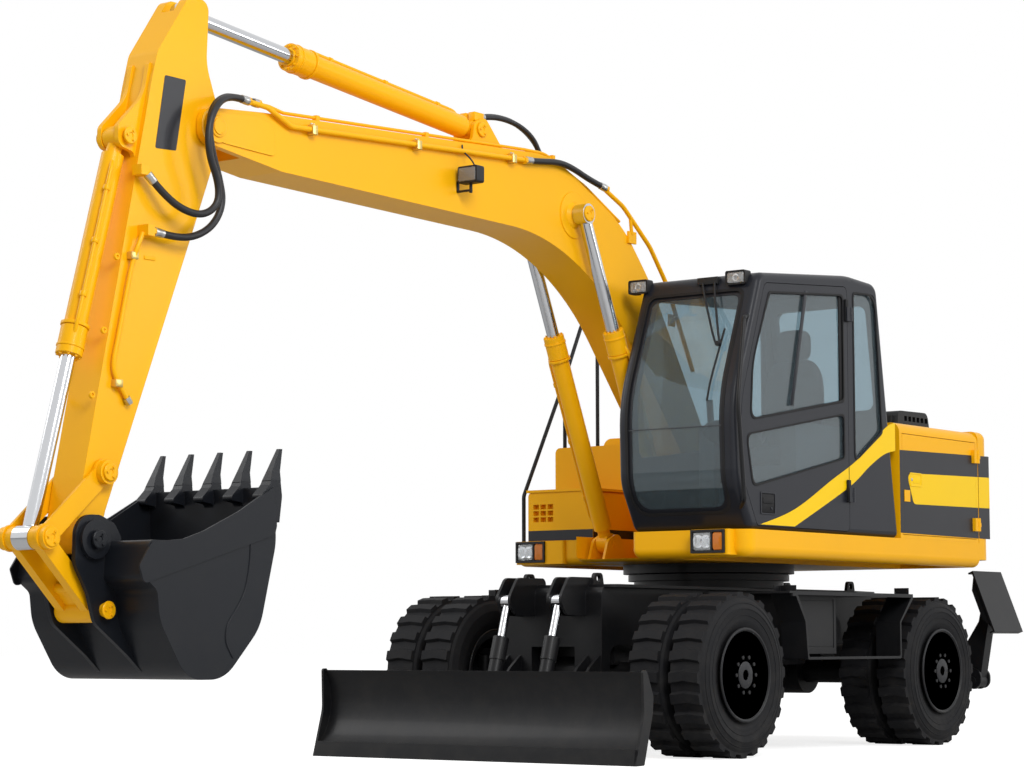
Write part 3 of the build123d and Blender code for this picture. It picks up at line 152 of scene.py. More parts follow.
def makeFloor():
    mesh = bpy.data.meshes.new("floor")
    reach = studio["floorReach"]
    mesh.from_pydata([(-reach, -reach, 0), (reach, -reach, 0), (reach, reach, 0), (-reach, reach, 0)], [],
                     [(0, 1, 2, 3)])
    floor = placeObject("floor", mesh)
    floor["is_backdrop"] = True
    paper, tree, shader = newMaterial("floorPaper")
    setInputs(tree, shader, {"Base Color": studio["floorColour"], "Roughness": studio["floorRoughness"],
                             "Specular IOR Level": 0.0})
    glow = addNode(tree, "ShaderNodeEmission", {"Color": studio["white"], "Strength": studio["floorGlow"]})
    rays = tree.nodes.new("ShaderNodeLightPath").outputs
    seen = mathNode(tree, "MAXIMUM", rays["Is Camera Ray"], rays["Is Transmission Ray"])
    dark = addNode(tree, "ShaderNodeBsdfTransparent", {"Color": studio["black"]})
    lift = addNode(tree, "ShaderNodeMixShader", {0: seen, 1: dark.outputs[0], 2: glow.outputs[0]})
    both = addNode(tree, "ShaderNodeAddShader", {0: shader.outputs[0], 1: lift.outputs[0]})
    tree.links.new(both.outputs[0], tree.nodes["Material Output"].inputs[0])
    mesh.materials.append(paper)


# white where the camera, glass or a gloss sees it, and a weaker light on everything else
def makeLight():
    world = bpy.data.worlds.new("studioLight")
    world.use_nodes = True
    tree = world.node_tree
    tree.nodes.clear()
    light = addNode(tree, "ShaderNodeBackground",
                    {"Strength": studio["worldStrength"], "Color": studio["white"]})
    backdrop = addNode(tree, "ShaderNodeBackground", {"Color": studio["white"]})
    rays = tree.nodes.new("ShaderNodeLightPath").outputs
    clear = mathNode(tree, "MAXIMUM", rays["Is Camera Ray"], rays["Is Transmission Ray"])
    gloss = mathNode(tree, "MAXIMUM", clear, rays["Is Glossy Ray"])
    mix = addNode(tree, "ShaderNodeMixShader", {0: gloss, 1: light.outputs[0], 2: backdrop.outputs[0]})
    addNode(tree, "ShaderNodeOutputWorld", {0: mix.outputs[0]})
    bpy.context.scene.world = world
    for name, place, aim, watts in studio["lamps"]:
        lamp = placeObject(name, bpy.data.lights.new(name, "AREA"))
        lamp.data.shape = "DISK"
        lamp.data.size = studio["lampSize"]
        lamp.data.energy = watts
        lamp.location = at(*place)
        lamp.rotation_euler = (at(*aim) - lamp.location).to_track_quat("-Z", "Y").to_euler()


bpy.context.scene.view_settings.view_transform = "Standard"
makeCamera()
makeFloor()
makeLight()
print("studio ready")


# a shader node group shared by the finishes
def newGroup(name, inputs, outputs):
    group = bpy.data.node_groups.new(name, "ShaderNodeTree")
    for label, value in inputs:
        group.interface.new_socket(label, in_out="INPUT", socket_type="NodeSocketFloat").default_value = value
    for label in outputs:
        group.interface.new_socket(label, in_out="OUTPUT", socket_type="NodeSocketFloat")
    return group, group.nodes.new("NodeGroupInput"), group.nodes.new("NodeGroupOutput")


# dust: a patchy mask that is strongest near the ground
def makeDustGroup():
    group, start, end = newGroup("roadDust", (("Amount", 0.3), ("Scale", 6.0), ("Low Height", 0.9)),
                                 ("Mask",))
    place = group.nodes.new("ShaderNodeTexCoord").outputs["Object"]
    split = addNode(group, "ShaderNodeSeparateXYZ", {0: place})
    noise = addNode(group, "ShaderNodeTexNoise", {
        "Vector": place, "Scale": start.outputs["Scale"], "Detail": 6, "Roughness": 0.62})
    low = addNode(group, "ShaderNodeMapRange", {
        "Value": split.outputs["Z"], "From Min": 0.0, "From Max": start.outputs["Low Height"],
        "To Min": 1.0, "To Max": 0.25})
    patch = addNode(group, "ShaderNodeMapRange",
                    {"Value": noise.outputs["Fac"], "From Min": 0.42, "From Max": 0.68})
    mask = mathNode(group, "MULTIPLY", patch.outputs[0], low.outputs[0])
    group.links.new(mathNode(group, "MULTIPLY", mask, start.outputs["Amount"], clamp=True),
                    end.inputs["Mask"])
    return group


# paint skin: slow colour drift and the fine ripple of sprayed paint
def makeSkinGroup():
    group, start, end = newGroup("paintSkin", (("Ripple Scale", 180.0), ("Drift Scale", 1.6)),
                                 ("Height", "Drift"))
    place = group.nodes.new("ShaderNodeTexCoord").outputs["Object"]
    for source, target, detail in (("Ripple Scale", "Height", 2), ("Drift Scale", "Drift", 4)):
        noise = addNode(group, "ShaderNodeTexNoise", {
            "Vector": place, "Scale": start.outputs[source], "Detail": detail})
        group.links.new(noise.outputs["Fac"], end.inputs[target])
    return group


dustGroup = makeDustGroup()
skinGroup = makeSkinGroup()
surface = {"coatRoughness": 0.12, "dustColour": (0.30, 0.27, 0.22, 1), "dustDulls": 0.35, "driftDulls": 0.12,
           "rippleDepth": 0.002, "edgeSamples": 4, "glassIndex": 1.45}
finishes = {}
pieceSlot = {}


# one finish: base colour, a darker or lighter drift, dust over it, ripple in the bump
def makeFinish(name, colour, roughness, coat, dust, bump, drift, specular, metallic=0.0, dustScale=5.0,
               ripple=180.0, edge=0.003):
    finish, tree, shader = newMaterial(name)
    finish.diffuse_color = (*colour, 1)
    skin = tree.nodes.new("ShaderNodeGroup")
    skin.node_tree = skinGroup
    skin.inputs["Ripple Scale"].default_value = ripple
    soil = tree.nodes.new("ShaderNodeGroup")
    soil.node_tree = dustGroup
    setInputs(tree, soil, {"Amount": dust, "Scale": dustScale})
    tone = mixColours(tree, skin.outputs["Drift"], (*[c * (1 - drift) for c in colour], 1),
                      (*[min(c * (1 + drift), 1) for c in colour], 1))
    drifts = surface["driftDulls"]
    dull = mathNode(tree, "MULTIPLY_ADD", skin.outputs["Drift"], drifts, roughness - drifts / 2)
    bumps = addNode(tree, "ShaderNodeBump", {
        "Strength": bump, "Distance": surface["rippleDepth"], "Height": skin.outputs["Height"]})
    if edge:
        soft = addNode(tree, "ShaderNodeBevel", {"Radius": edge})
        soft.samples = surface["edgeSamples"]
        tree.links.new(soft.outputs[0], bumps.inputs["Normal"])
    setInputs(tree, shader, {
        "Base Color": mixColours(tree, soil.outputs["Mask"], tone, surface["dustColour"]),
        "Roughness": mathNode(tree, "MULTIPLY_ADD", soil.outputs["Mask"], surface["dustDulls"], dull),
        "Metallic": metallic, "Coat Weight": coat, "Coat Roughness": surface["coatRoughness"],
        "Specular IOR Level": specular, "Normal": bumps.outputs[0]})
    finishes[name] = finish


finishRows = (
    # name, slot of its pieces, colour, roughness, coat, dust, bump, drift, specular, other values
    ("machineYellow", "yellow_paint", (0.95, 0.465, 0.002), 0.38, 0.06, 0.03, 0.03, 0.05, 0.16, {}),
    ("stripeYellow", "yellow_paint", (0.97, 0.61, 0.001), 0.38, 0.06, 0.01, 0.02, 0.04, 0.16, {}),
    ("chassisBlack", "black_paint", (0.0055, 0.0058, 0.007), 0.44, 0.05, 0.03, 0.06, 0.15, 0.25, {}),
    ("bucketBlack", "black_paint", (0.0075, 0.0090, 0.0125), 0.42, 0.06, 0.02, 0.08, 0.15, 0.2, {}),
    ("cabBlack", "cab_black", (0.0135, 0.0150, 0.0205), 0.38, 0.07, 0.01, 0.03, 0.1, 0.22, {}),
    ("stripeBlack", "black_paint", (0.0115, 0.0125, 0.017), 0.40, 0.08, 0.02, 0.02, 0.1, 0.3, {}),
    ("rimBlack", "rim", (0.006, 0.0063, 0.0075), 0.46, 0.05, 0.04, 0.05, 0.15, 0.25, {}),
    ("rimGrey", "rim", (0.014, 0.0150, 0.0180), 0.46, 0.05, 0.05, 0.05, 0.15, 0.25, {}),
    ("tyreRubber", "tyre", (0.0068, 0.0070, 0.0085), 0.70, 0, 0.045, 0.25, 0.2, 0.22,
     {"dustScale": 9, "ripple": 320}),
    ("rodChrome", "chrome", (0.60, 0.61, 0.63), 0.14, 0, 0.0, 0.01, 0.03, 0.35,
     {"metallic": 1.0, "edge": 0.001}),
    ("bareSteel", "chrome", (0.50, 0.50, 0.49), 0.32, 0, 0.03, 0.05, 0.1, 0.35,
     {"metallic": 1.0, "edge": 0.001}),
    ("goldZinc", "yellow_paint", (0.70, 0.52, 0.18), 0.30, 0, 0.02, 0.04, 0.15, 0.35,
     {"metallic": 0.9, "edge": 0.001}),
    ("blackPlastic", "interior", (0.012, 0.0125, 0.014), 0.52, 0, 0.04, 0.12, 0.1, 0.3, {"ripple": 420}),
    ("sealRubber", "interior", (0.008, 0.008, 0.009), 0.62, 0, 0.03, 0.1, 0.1, 0.25, {"ripple": 300}),
    ("hoseRubber", "hose", (0.010, 0.010, 0.012), 0.46, 0, 0.03, 0.1, 0.15, 0.4, {"ripple": 260, "edge": 0}),
    ("seatFabric", "seat", (0.035, 0.037, 0.044), 0.9, 0, 0.03, 0.4, 0.2, 0.2, {"ripple": 700}),
    ("innerPlastic", "interior", (0.060, 0.064, 0.072), 0.6, 0, 0.02, 0.15, 0.1, 0.3, {"ripple": 420}),
    ("castIron", None, (0.04, 0.042, 0.046), 0.6, 0, 0.15, 0.3, 0.2, 0.35, {"metallic": 0.4, "ripple": 120}),
)
for name, slotName, *values, others in finishRows:
    makeFinish(name, *values, **others)
    pieceSlot[name] = slotName

glassRows = (
    # name, slot of its pieces, colour, roughness, transmission
    ("cabGlass", None, (0.44, 0.55, 0.60), 0.0, 0.92),
    ("lensGlass", "lamp", (0.92, 0.94, 0.95), 0.05, 0.8),
    ("amberLens", "lamp", (0.95, 0.32, 0.03), 0.08, 0.5),
)
for name, slotName, colour, roughness, through in glassRows:
    finishes[name], tree, shader = newMaterial(name)
    setInputs(tree, shader,
              {"Base Color": (*colour, 1), "Roughness": roughness, "Transmission Weight": through,
                             "IOR": surface["glassIndex"]})
    pieceSlot[name] = slotName


def repaint(thing, finishName):
    thing.data.materials.clear()
    thing.data.materials.append(finishes[finishName])


nodeFinish = {
    "machineYellow": ("upper_frame", "counterweight", "left_housing", "right_housing", "side_door_left",
                      "side_door_right", "engine_hood", "boom", "stick", "boom_barrels", "stick_barrel",
                      "bucket_barrel", "rocker", "bucket_link", "boom_pipes", "stick_ports"),
    "chassisBlack": ("chassis_frame", "front_axle", "rear_axle", "steps", "knuckle_left", "knuckle_right",
                     "blade",
                     "blade_barrels", "stabiliser_left", "stabiliser_right", "stabiliser_barrel_left",
                     "stabiliser_barrel_right", "slew_ring", "air_cowl", "handrails"),
    "bucketBlack": ("bucket",),
    "cabBlack": ("cab_frame", "cab_door"),
    "cabGlass": ("cab_glass", "cab_door_glass"),
    "rodChrome": ("boom_rods", "stick_rod", "bucket_rod", "blade_rods", "stabiliser_rod_left",
                  "stabiliser_rod_right"),
    "seatFabric": ("cab_seat",),
    "innerPlastic": ("cab_controls",),
    "castIron": ("engine_block",),
    "hoseRubber": ("hose_boom", "hose_stick_a", "hose_stick_b"),
    "blackPlastic": ("headlamps",),
}
for finishName, names in nodeFinish.items():
    for name in names:
        repaint(frame["nodes"][name], finishName)
for name, node in frame["nodes"].items():
    if name.startswith(("tyres", "rims")):
        repaint(node, "tyreRubber" if name.startswith("tyres") else "rimBlack")
print("finishes ready:", len(finishes))


# every new mesh becomes a piece here: material and body; its slot is looked up but not stored
def addPiece(name, mesh, finishName, body, slotName=None):
    mesh.name = name
    piece = placeObject(name, mesh)
    repaint(piece, finishName)
    slotName = slotName or pieceSlot[finishName]
    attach(piece, body)
    return piece


def plainMesh(source):
    bpy.context.view_layer.update()
    result = bpy.data.meshes.new_from_object(source.evaluated_get(bpy.context.evaluated_depsgraph_get()))
    bpy.data.objects.remove(source)
    return result


def smoothFaces(mesh):
    for face in mesh.polygons:
        face.use_smooth = True


# closes a bmesh, rounds its sharp edges and hands it over as a piece
def fromBm(name, bm, finishName, body, slotName=None, edge=0.0, steps=2, smooth=35):
    bmesh.ops.recalc_face_normals(bm, faces=bm.faces)
    mesh = bpy.data.meshes.new(name)
    bm.to_mesh(mesh)
    bm.free()
    if edge:
        raw = placeObject(name + "Raw", mesh)
        soft = raw.modifiers.new("soft", "BEVEL")
        soft.width = edge
        soft.segments = steps
        soft.limit_method = "ANGLE"
        soft.angle_limit = math.radians(38)
        soft.harden_normals = False
        mesh = plainMesh(raw)
    piece = addPiece(name, mesh, finishName, body, slotName)
    mesh.set_sharp_from_angle(angle=math.radians(smooth))
    smoothFaces(mesh)
    return piece


def putBox(bm, low, high):
    spots = [(x, y, z) for x in (low[0], high[0]) for y in (low[1], high[1]) for z in (low[2], high[2])]
    corners = [bm.verts.new(at(*spot)) for spot in spots]
    for face in ((0, 1, 3, 2), (4, 6, 7, 5), (0, 4, 5, 1), (2, 3, 7, 6), (0, 2, 6, 4), (1, 5, 7, 3)):
        bm.faces.new([corners[k] for k in face])


# faces between rings of points that follow each other; a ring of one point is a tip
def bridge(bm, rings):
    for first, second in zip(rings, rings[1:]):
        for k in range(max(len(first), len(second))):
            corners = []
            for corner in (first[k % len(first)], first[(k + 1) % len(first)],
                           second[(k + 1) % len(second)], second[k % len(second)]):
                if corner not in corners:
                    corners.append(corner)
            if len(corners) > 2:
                bm.faces.new(corners)


def basisOf(direction):
    direction = direction.normalized()
    side = direction.orthogonal().normalized()
    return side, direction.cross(side), direction


def putRing(bm, centre, side, up, radius, sides):
    turns = [math.tau * k / sides for k in range(sides)]
    return [bm.verts.new(centre + side * radius * math.cos(turn) + up * radius * math.sin(turn))
            for turn in turns]


# a round bar between two points
def putRod(bm, start, end, radius, sides=28):
    start, end = at(*start), at(*end)
    side, up, axis = basisOf(end - start)
    rings = [putRing(bm, centre, side, up, radius, sides) for centre in (start, end)]
    bridge(bm, rings)
    bm.faces.new(rings[0][::-1])
    bm.faces.new(rings[1])


# a turned shape: rows of (distance along the axis, radius), closed at both ends
def putTurned(bm, start, direction, rows, sides=40):
    start = at(*start)
    side, up, axis = basisOf(Vector(direction))
    rings = []
    for along, radius in rows:
        centre = start + axis * along
        rings.append(putRing(bm, centre, side, up, radius, sides) if radius >= 1e-6
                     else [bm.verts.new(centre)])
    bridge(bm, rings)
    for ring in (rings[0], rings[-1]):
        if len(ring) > 1:
            bm.faces.new(ring)


# corner points of an outline with its corners rounded: rows of (a, b, radius)
def rounded(rows, steps=6):
    points = []
    for k, (a, b, radius) in enumerate(rows):
        corner = Vector((a, b))
        if radius <= 0:
            points.append((a, b))
            continue
        before, after = Vector(rows[k - 1][:2]) - corner, Vector(rows[(k + 1) % len(rows)][:2]) - corner
        half = before.angle(after) / 2
        reach = min(radius / math.tan(half), before.length * 0.49, after.length * 0.49)
        start, end = corner + before.normalized() * reach, corner + after.normalized() * reach
        for step in range(steps + 1):
            t = step / steps
            spot = start * (1 - t) ** 2 + corner * 2 * t * (1 - t) + end * t ** 2
            points.append((spot.x, spot.y))
    return points


# a rectangle with rounded corners, made smaller all round by inset
def roundedBox(low, high, radius, inset=0.0):
    (a, b), (c, d) = low, high
    a, b, c, d = a + inset, b + inset, c - inset, d - inset
    return rounded([(a, b, radius), (c, b, radius), (c, d, radius), (a, d, radius)])


def placed(axis, a, b, level):
    return {"y": (a, level, b), "x": (level, a, b), "z": (a, b, level)}[axis]


# a flat plate: its outline in the plane across the axis, from low to high along it
def putPlate(bm, outline, axis, low, high):
    lower, upper = [[bm.verts.new(at(*placed(axis, a, b, level))) for a, b in outline]
                    for level in (low, high)]
    bridge(bm, [lower, upper])
    bm.faces.new(lower)
    bm.faces.new(upper)


# a frame between an outline and a smaller one with as many points
def putFrame(bm, outer, inner, axis, low, high):
    loops = [[bm.verts.new(at(*placed(axis, a, b, level))) for a, b in loop]
             for loop, level in ((outer, low), (outer, high), (inner, high), (inner, low))]
    bridge(bm, loops + loops[:1])


# the outline cut off at a straight line: keeps a >= limit, or a <= limit with side -1
def cutOutline(outline, limit, side=1, axisIndex=0):
    kept = []
    for k, point in enumerate(outline):
        other = outline[(k + 1) % len(outline)]
        here, there = side * (point[axisIndex] - limit), side * (other[axisIndex] - limit)
        if here >= 0:
            kept.append(point)
        if here * there < 0:
            t = here / (here - there)
            kept.append((point[0] + (other[0] - point[0]) * t, point[1] + (other[1] - point[1]) * t))
    return kept


def newCurve(name, points):
    curve = bpy.data.curves.new(name, "CURVE")
    curve.dimensions = "3D"
    curve.use_fill_caps = True
    spline = curve.splines.new("NURBS")
    spline.points.add(len(points) - 1)
    for spot, place in zip(spline.points, points):
        spot.co = (*at(*place), 1)
    spline.order_u = 3
    spline.use_endpoint_u = True
    return curve


# a bent pipe or cable as a smooth curve with round section
def putPipe(name, points, radius, finishName, body):
    curve = newCurve(name + "Line", points)
    curve.resolution_u = 8
    curve.bevel_depth = radius
    curve.bevel_resolution = 5
    mesh = plainMesh(placeObject(name + "Raw", curve))
    smoothFaces(mesh)
    addPiece(name, mesh, finishName, body)


# Geometry Nodes: hexagon bolts with washers on a circle, or along a line
boltShape = {"headSides": 6, "washerSides": 20, "washerWide": 1.5, "washerHigh": 0.3, "headLift": 0.6}


def makeBoltTree(kind):
    tree = bpy.data.node_groups.new("bolts" + kind, "GeometryNodeTree")
    for label, socketKind in (("Count", "Int"), ("Spread", "Float"), ("Head Radius", "Float"),
                              ("Head Height", "Float"),
                              ("Finish", "Material")):
        tree.interface.new_socket(label, in_out="INPUT", socket_type="NodeSocket" + socketKind)
    tree.interface.new_socket("Mesh", in_out="OUTPUT", socket_type="NodeSocketGeometry")
    given, end = tree.nodes.new("NodeGroupInput").outputs, tree.nodes.new("NodeGroupOutput")
    if kind == "Circle":
        line = addNode(tree, "GeometryNodeMeshCircle",
                       {"Vertices": given["Count"], "Radius": given["Spread"]})
    else:
        step = addNode(tree, "ShaderNodeCombineXYZ", {"X": given["Spread"]})
        line = addNode(tree, "GeometryNodeMeshLine", {"Count": given["Count"], "Offset": step.outputs[0]})
    head = addNode(tree, "GeometryNodeMeshCylinder", {
        "Vertices": boltShape["headSides"], "Radius": given["Head Radius"], "Depth": given["Head Height"]})
    washer = addNode(tree, "GeometryNodeMeshCylinder", {
        "Vertices": boltShape["washerSides"],
        "Radius": mathNode(tree, "MULTIPLY", given["Head Radius"], boltShape["washerWide"]),
        "Depth": mathNode(tree, "MULTIPLY", given["Head Height"], boltShape["washerHigh"])})
    rise = addNode(tree, "ShaderNodeCombineXYZ", {
        "Z": mathNode(tree, "MULTIPLY", given["Head Height"], boltShape["headLift"])})
    lift = addNode(tree, "GeometryNodeTransform",
                   {"Translation": rise.outputs[0], "Geometry": head.outputs["Mesh"]})
    join = addNode(tree, "GeometryNodeJoinGeometry", {0: lift.outputs[0]})
    tree.links.new(washer.outputs["Mesh"], join.inputs[0])
    spread = addNode(tree, "GeometryNodeInstanceOnPoints",
                     {"Points": line.outputs[0], "Instance": join.outputs[0]})
    real = addNode(tree, "GeometryNodeRealizeInstances", {0: spread.outputs[0]})
    paint = addNode(tree, "GeometryNodeSetMaterial", {0: real.outputs[0], "Material": given["Finish"]})
    tree.links.new(paint.outputs[0], end.inputs[0])
    return tree


boltTrees = {kind: makeBoltTree(kind) for kind in ("Circle", "Line")}


# several circles or lines of bolts as one piece: each place is (centre, direction, start direction)
def putBolts(name, kind, places, count, spread, radius, height, finishName, body):
    base = placeObject(name + "Raw", bpy.data.meshes.new(name + "Raw"))
    maker = base.modifiers.new("bolts", "NODES")
    tree = boltTrees[kind]
    maker.node_group = tree
    sockets = {item.name: item.identifier for item in tree.interface.items_tree if item.in_out == "INPUT"}
    for label, value in (("Count", count), ("Spread", spread), ("Head Radius", radius),
                         ("Head Height", height),
                         ("Finish", finishes[finishName])):
        maker[sockets[label]] = value
    one = plainMesh(base)
    bm = bmesh.new()
    for centre, direction, first in places:
        axis, side = Vector(direction).normalized(), Vector(first).normalized()
        turn = Matrix((side, axis.cross(side), axis)).transposed().to_4x4()
        copy = one.copy()
        copy.transform(Matrix.Translation(at(*centre)) @ turn)
        bm.from_mesh(copy)
        bpy.data.meshes.remove(copy)
    fromBm(name, bm, finishName, body, smooth=30)


print("piece tools ready")

# hydraulic hoses of the arm, the same routes as their solids
hoses = {
    "diameter": 0.040,
    "stickUpper": [(4.985, 0.190, 3.692), (5.110, 0.215, 3.692), (5.262, 0.252, 3.630), (5.345, 0.264, 3.490),
                   (5.345, 0.266, 3.330), (5.262, 0.266, 3.180), (5.265, 0.264, 3.060), (5.370, 0.250, 2.990),
                   (5.500, 0.222, 3.010), (5.610, 0.190, 3.085), (5.680, 0.168, 3.160)],
    "stickLower": [(4.830, 0.118, 3.712), (4.990, 0.136, 3.712), (5.130, 0.168, 3.690), (5.255, 0.206, 3.610),
                   (5.290, 0.214, 3.480), (5.262, 0.214, 3.350), (5.205, 0.214, 3.220), (5.172, 0.214, 3.090),
                   (5.235, 0.210, 2.965), (5.360, 0.200, 2.885), (5.500, 0.184, 2.862),
                   (5.620, 0.172, 2.875)],
    "boom": [(1.540, 0.188, 3.690), (1.680, 0.190, 3.712), (1.900, 0.192, 3.768), (2.050, 0.190, 3.780),
             (2.230, 0.186, 3.756), (2.350, 0.185, 3.745)],
}


# a hose along a smooth curve; one that crosses a joint is turned into a tube of mesh
def makeHose(name, points, diameter, node=None, crosses=True):
    curve = newCurve(name, points)
    curve.resolution_u = 12
    hose = placeObject(name, curve)
    bpy.context.view_layer.update()
    line = bpy.data.meshes.new_from_object(hose)
    spots = [vertex.co.copy() for vertex in line.vertices]
    length = sum((b - a).length for a, b in zip(spots, spots[1:]))
    bpy.data.meshes.remove(line)
    curve.bevel_depth = diameter / 2
    curve.bevel_resolution = 6
    if crosses:
        bpy.context.view_layer.update()
        mesh = bpy.data.meshes.new_from_object(hose)
        bpy.data.objects.remove(hose)
        smoothFaces(mesh)
        hose = placeObject(name, mesh)
    repaint(hose, "hoseRubber")
    if node:
        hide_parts(node)
    return hose, spots, length


# the two hoses across the stick's joint as fixed meshes, and the boom's hose on the boom
for name, node, key in (("hoseStickUpper", "hose_stick_a", "stickUpper"),
                        ("hoseStickLower", "hose_stick_b", "stickLower"),
                        ("hoseBoom", "hose_boom", "boom")):
    route = hoses[key]
    hose, spots, length = makeHose(name, route, hoses["diameter"], node, crosses=key != "boom")
    if key == "boom":
        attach(hose, "boom")
    else:
        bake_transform(hose)

# two supply hoses of the stick cylinder, from its foot to blocks on the boom's top
supply = {
    "diameter": 0.034,
    "near": [(2.655, 0.034, 3.988), (2.560, 0.036, 4.008), (2.420, 0.042, 4.018), (2.260, 0.048, 3.998),
             (2.130, 0.050, 3.945), (2.060, 0.050, 3.870), (2.040, 0.050, 3.815)],
    "far": [(2.655, -0.034, 3.988), (2.550, -0.034, 4.022), (2.400, -0.034, 4.046), (2.220, -0.034, 4.040),
            (2.050, -0.034, 3.985), (1.930, -0.034, 3.890), (1.880, -0.034, 3.775)],
}
for key in ("near", "far"):
    route = supply[key]
    hose, spots, length = makeHose(f"supplyHose_{key}", route, supply["diameter"])
    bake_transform(hose)
print("hoses ready")

# wheels: rings on the outer sidewalls, the nuts and the hub's disc
wheels = {
    "frontX": 1.54, "rearX": -1.06, "z": 0.515, "outerY": 1.118, "hubY": 1.240, "lipLift": 0.130,
    "nutCount": 10, "nutSpread": 0.113, "nutRadius": 0.013, "nutHeight": 0.014,
    "ringSides": 72, "ringHeight": 0.004, "sunk": 0.002,
    # radius, height over the outer face, half the width
    "rings": ((0.345, 0.119, 0.005), (0.372, 0.1255, 0.004), (0.412, 0.131, 0.006), (0.446, 0.1225, 0.004)),
    "disc": [(0, 0.0), (0, 0.086), (0.010, 0.084), (0.013, 0.078), (0.013, 0.034), (0.007, 0.030),
             (0.007, 0.0)],
    "lip": [(0, 0.288), (0.006, 0.2875), (0.008, 0.284), (0.006, 0.279), (0, 0.278)],
}


def putSidewallRing(bm, x, y, z, side, radius, wide):
    high = wheels["ringHeight"]
    turns = [math.tau * k / wheels["ringSides"] for k in range(wheels["ringSides"])]
    rows = [(0, radius - wide), (high, radius - wide * 0.6), (high, radius + wide * 0.6), (0, radius + wide),
            (-high, radius + wide), (-high, radius - wide)]
    rings = [[bm.verts.new(at(x + r * math.cos(turn), y + side * along, z + r * math.sin(turn)))
              for turn in turns]
             for along, r in rows]
    bridge(bm, rings + rings[:1])


for axle in ("front", "rear"):
    for side, word in ((1, "left"), (-1, "right")):
        x, z, outward = wheels[axle + "X"], wheels["z"], (0, side, 0)
        body = f"wheel_{axle}_{word}"
        bm = bmesh.new()
        for radius, lift, wide in wheels["rings"]:
            putSidewallRing(bm, x, side * (wheels["outerY"] + lift - wheels["sunk"]), z, side, radius, wide)
        fromBm(f"sidewallRings_{axle}_{word}", bm, "tyreRubber", body)
        putBolts(f"wheelNuts_{axle}_{word}", "Circle", [((x, side * wheels["hubY"], z), outward, (1, 0, 0))],
                 wheels["nutCount"], wheels["nutSpread"], wheels["nutRadius"], wheels["nutHeight"],
                 "rimBlack", body)
        bm = bmesh.new()
        putTurned(bm, (x, side * (wheels["hubY"] - wheels["sunk"]), z), outward, wheels["disc"], 48)
        putTurned(bm, (x, side * (wheels["outerY"] + wheels["lipLift"]), z), outward, wheels["lip"],
                  wheels["ringSides"])
        fromBm(f"hubDisc_{axle}_{word}", bm, "rimGrey", body)
print("wheels ready")

# slew ring: the bolts of its upper and lower flange
slewRows = (
    # name, height, count, spread, body
    ("slewBolts", 1.2505, 48, 0.577, "upper"),
    ("slewLowerBolts", 1.146, 40, 0.54, "chassis"),
)
for name, z, count, spread, body in slewRows:
    putBolts(name, "Circle", [((0, 0, z), (0, 0, 1), (1, 0, 0))], count, spread, 0.012, 0.016,
             "chassisBlack", body)

# cylinders: gland bolts and rings, and the pipe along each barrel
rams = {
    # base, eye, Y, barrel length, gland radius, body
    "boomLeft": ((0.900, 1.385), (1.830, 3.465), 0.240, 1.480, 0.069, "boom_barrels"),
    "boomRight": ((0.900, 1.385), (1.830, 3.465), -0.240, 1.480, 0.069, "boom_barrels"),
    "stick": ((2.700, 3.900), (5.262, 4.142), 0.0, 1.720, 0.082, "stick_barrel"),
    "bucket": ((5.768, 3.383), (6.347, 1.248), 0.0, 1.230, 0.070, "bucket_barrel"),
}
glandBolt = {"count": 8, "inset": 0.013, "radius": 0.008, "height": 0.010}
barrelPipe = {
    "radius": 0.011, "clamps": (0.08, 0.5, 0.92),
    # distance along from the barrel's start, then from its end, and distance out from the axis
    "fromStart": ((0.16, 0.055), (0.18, 0.078), (0.26, 0.082)),
    "fromEnd": ((0.26, 0.082), (0.16, 0.084), (0.11, 0.060)),
}
for name, (base, eye, y, length, gland, body) in rams.items():
    start = Vector((base[0], y, base[1]))
    axis = (Vector((eye[0], y, eye[1])) - start).normalized()
    end = start + axis * length
    putBolts(f"glandBolts_{name}", "Circle", [(end, axis, (0, 1, 0))], glandBolt["count"],
             gland - glandBolt["inset"],
             glandBolt["radius"], glandBolt["height"], "machineYellow", body)
    bm = bmesh.new()
    for back, proud, wide in ((0.172, 0.006, 0.018), (0.050, 0.004, 0.012)):
        putTurned(bm, end - axis * back, axis, [(0, gland - 0.020), (0, gland + proud), (wide, gland + proud),
                                                (wide, gland - 0.020)])
    putTurned(bm, end + axis * 0.0005, axis,
              [(0, 0.030), (0, gland - 0.026), (0.008, gland - 0.030), (0.008, 0.030)])
    out = Vector((-axis.z, 0, axis.x))
    if name == "bucket":
        out = (out * 0.6 + Vector((0, 0.8, 0))).normalized()
    if name.startswith("boom"):
        out = Vector((0, 1 if y >= 0 else -1, 0))
    pipe = [start + axis * along + out * away for along, away in barrelPipe["fromStart"]]
    pipe += [end - axis * along + out * away for along, away in barrelPipe["fromEnd"]]
    for share in barrelPipe["clamps"]:
        putTurned(bm, pipe[2].lerp(pipe[3], share) - axis * 0.014 - out * 0.004, axis,
                  [(0, 0.012), (0, 0.019), (0.028, 0.019), (0.028, 0.012)], 20)
    fromBm(f"glandRings_{name}", bm, "machineYellow", body, edge=0.0015)
    putPipe(f"barrelPipe_{name}", [tuple(spot) for spot in pipe], barrelPipe["radius"], "machineYellow", body)
print("cylinders ready")

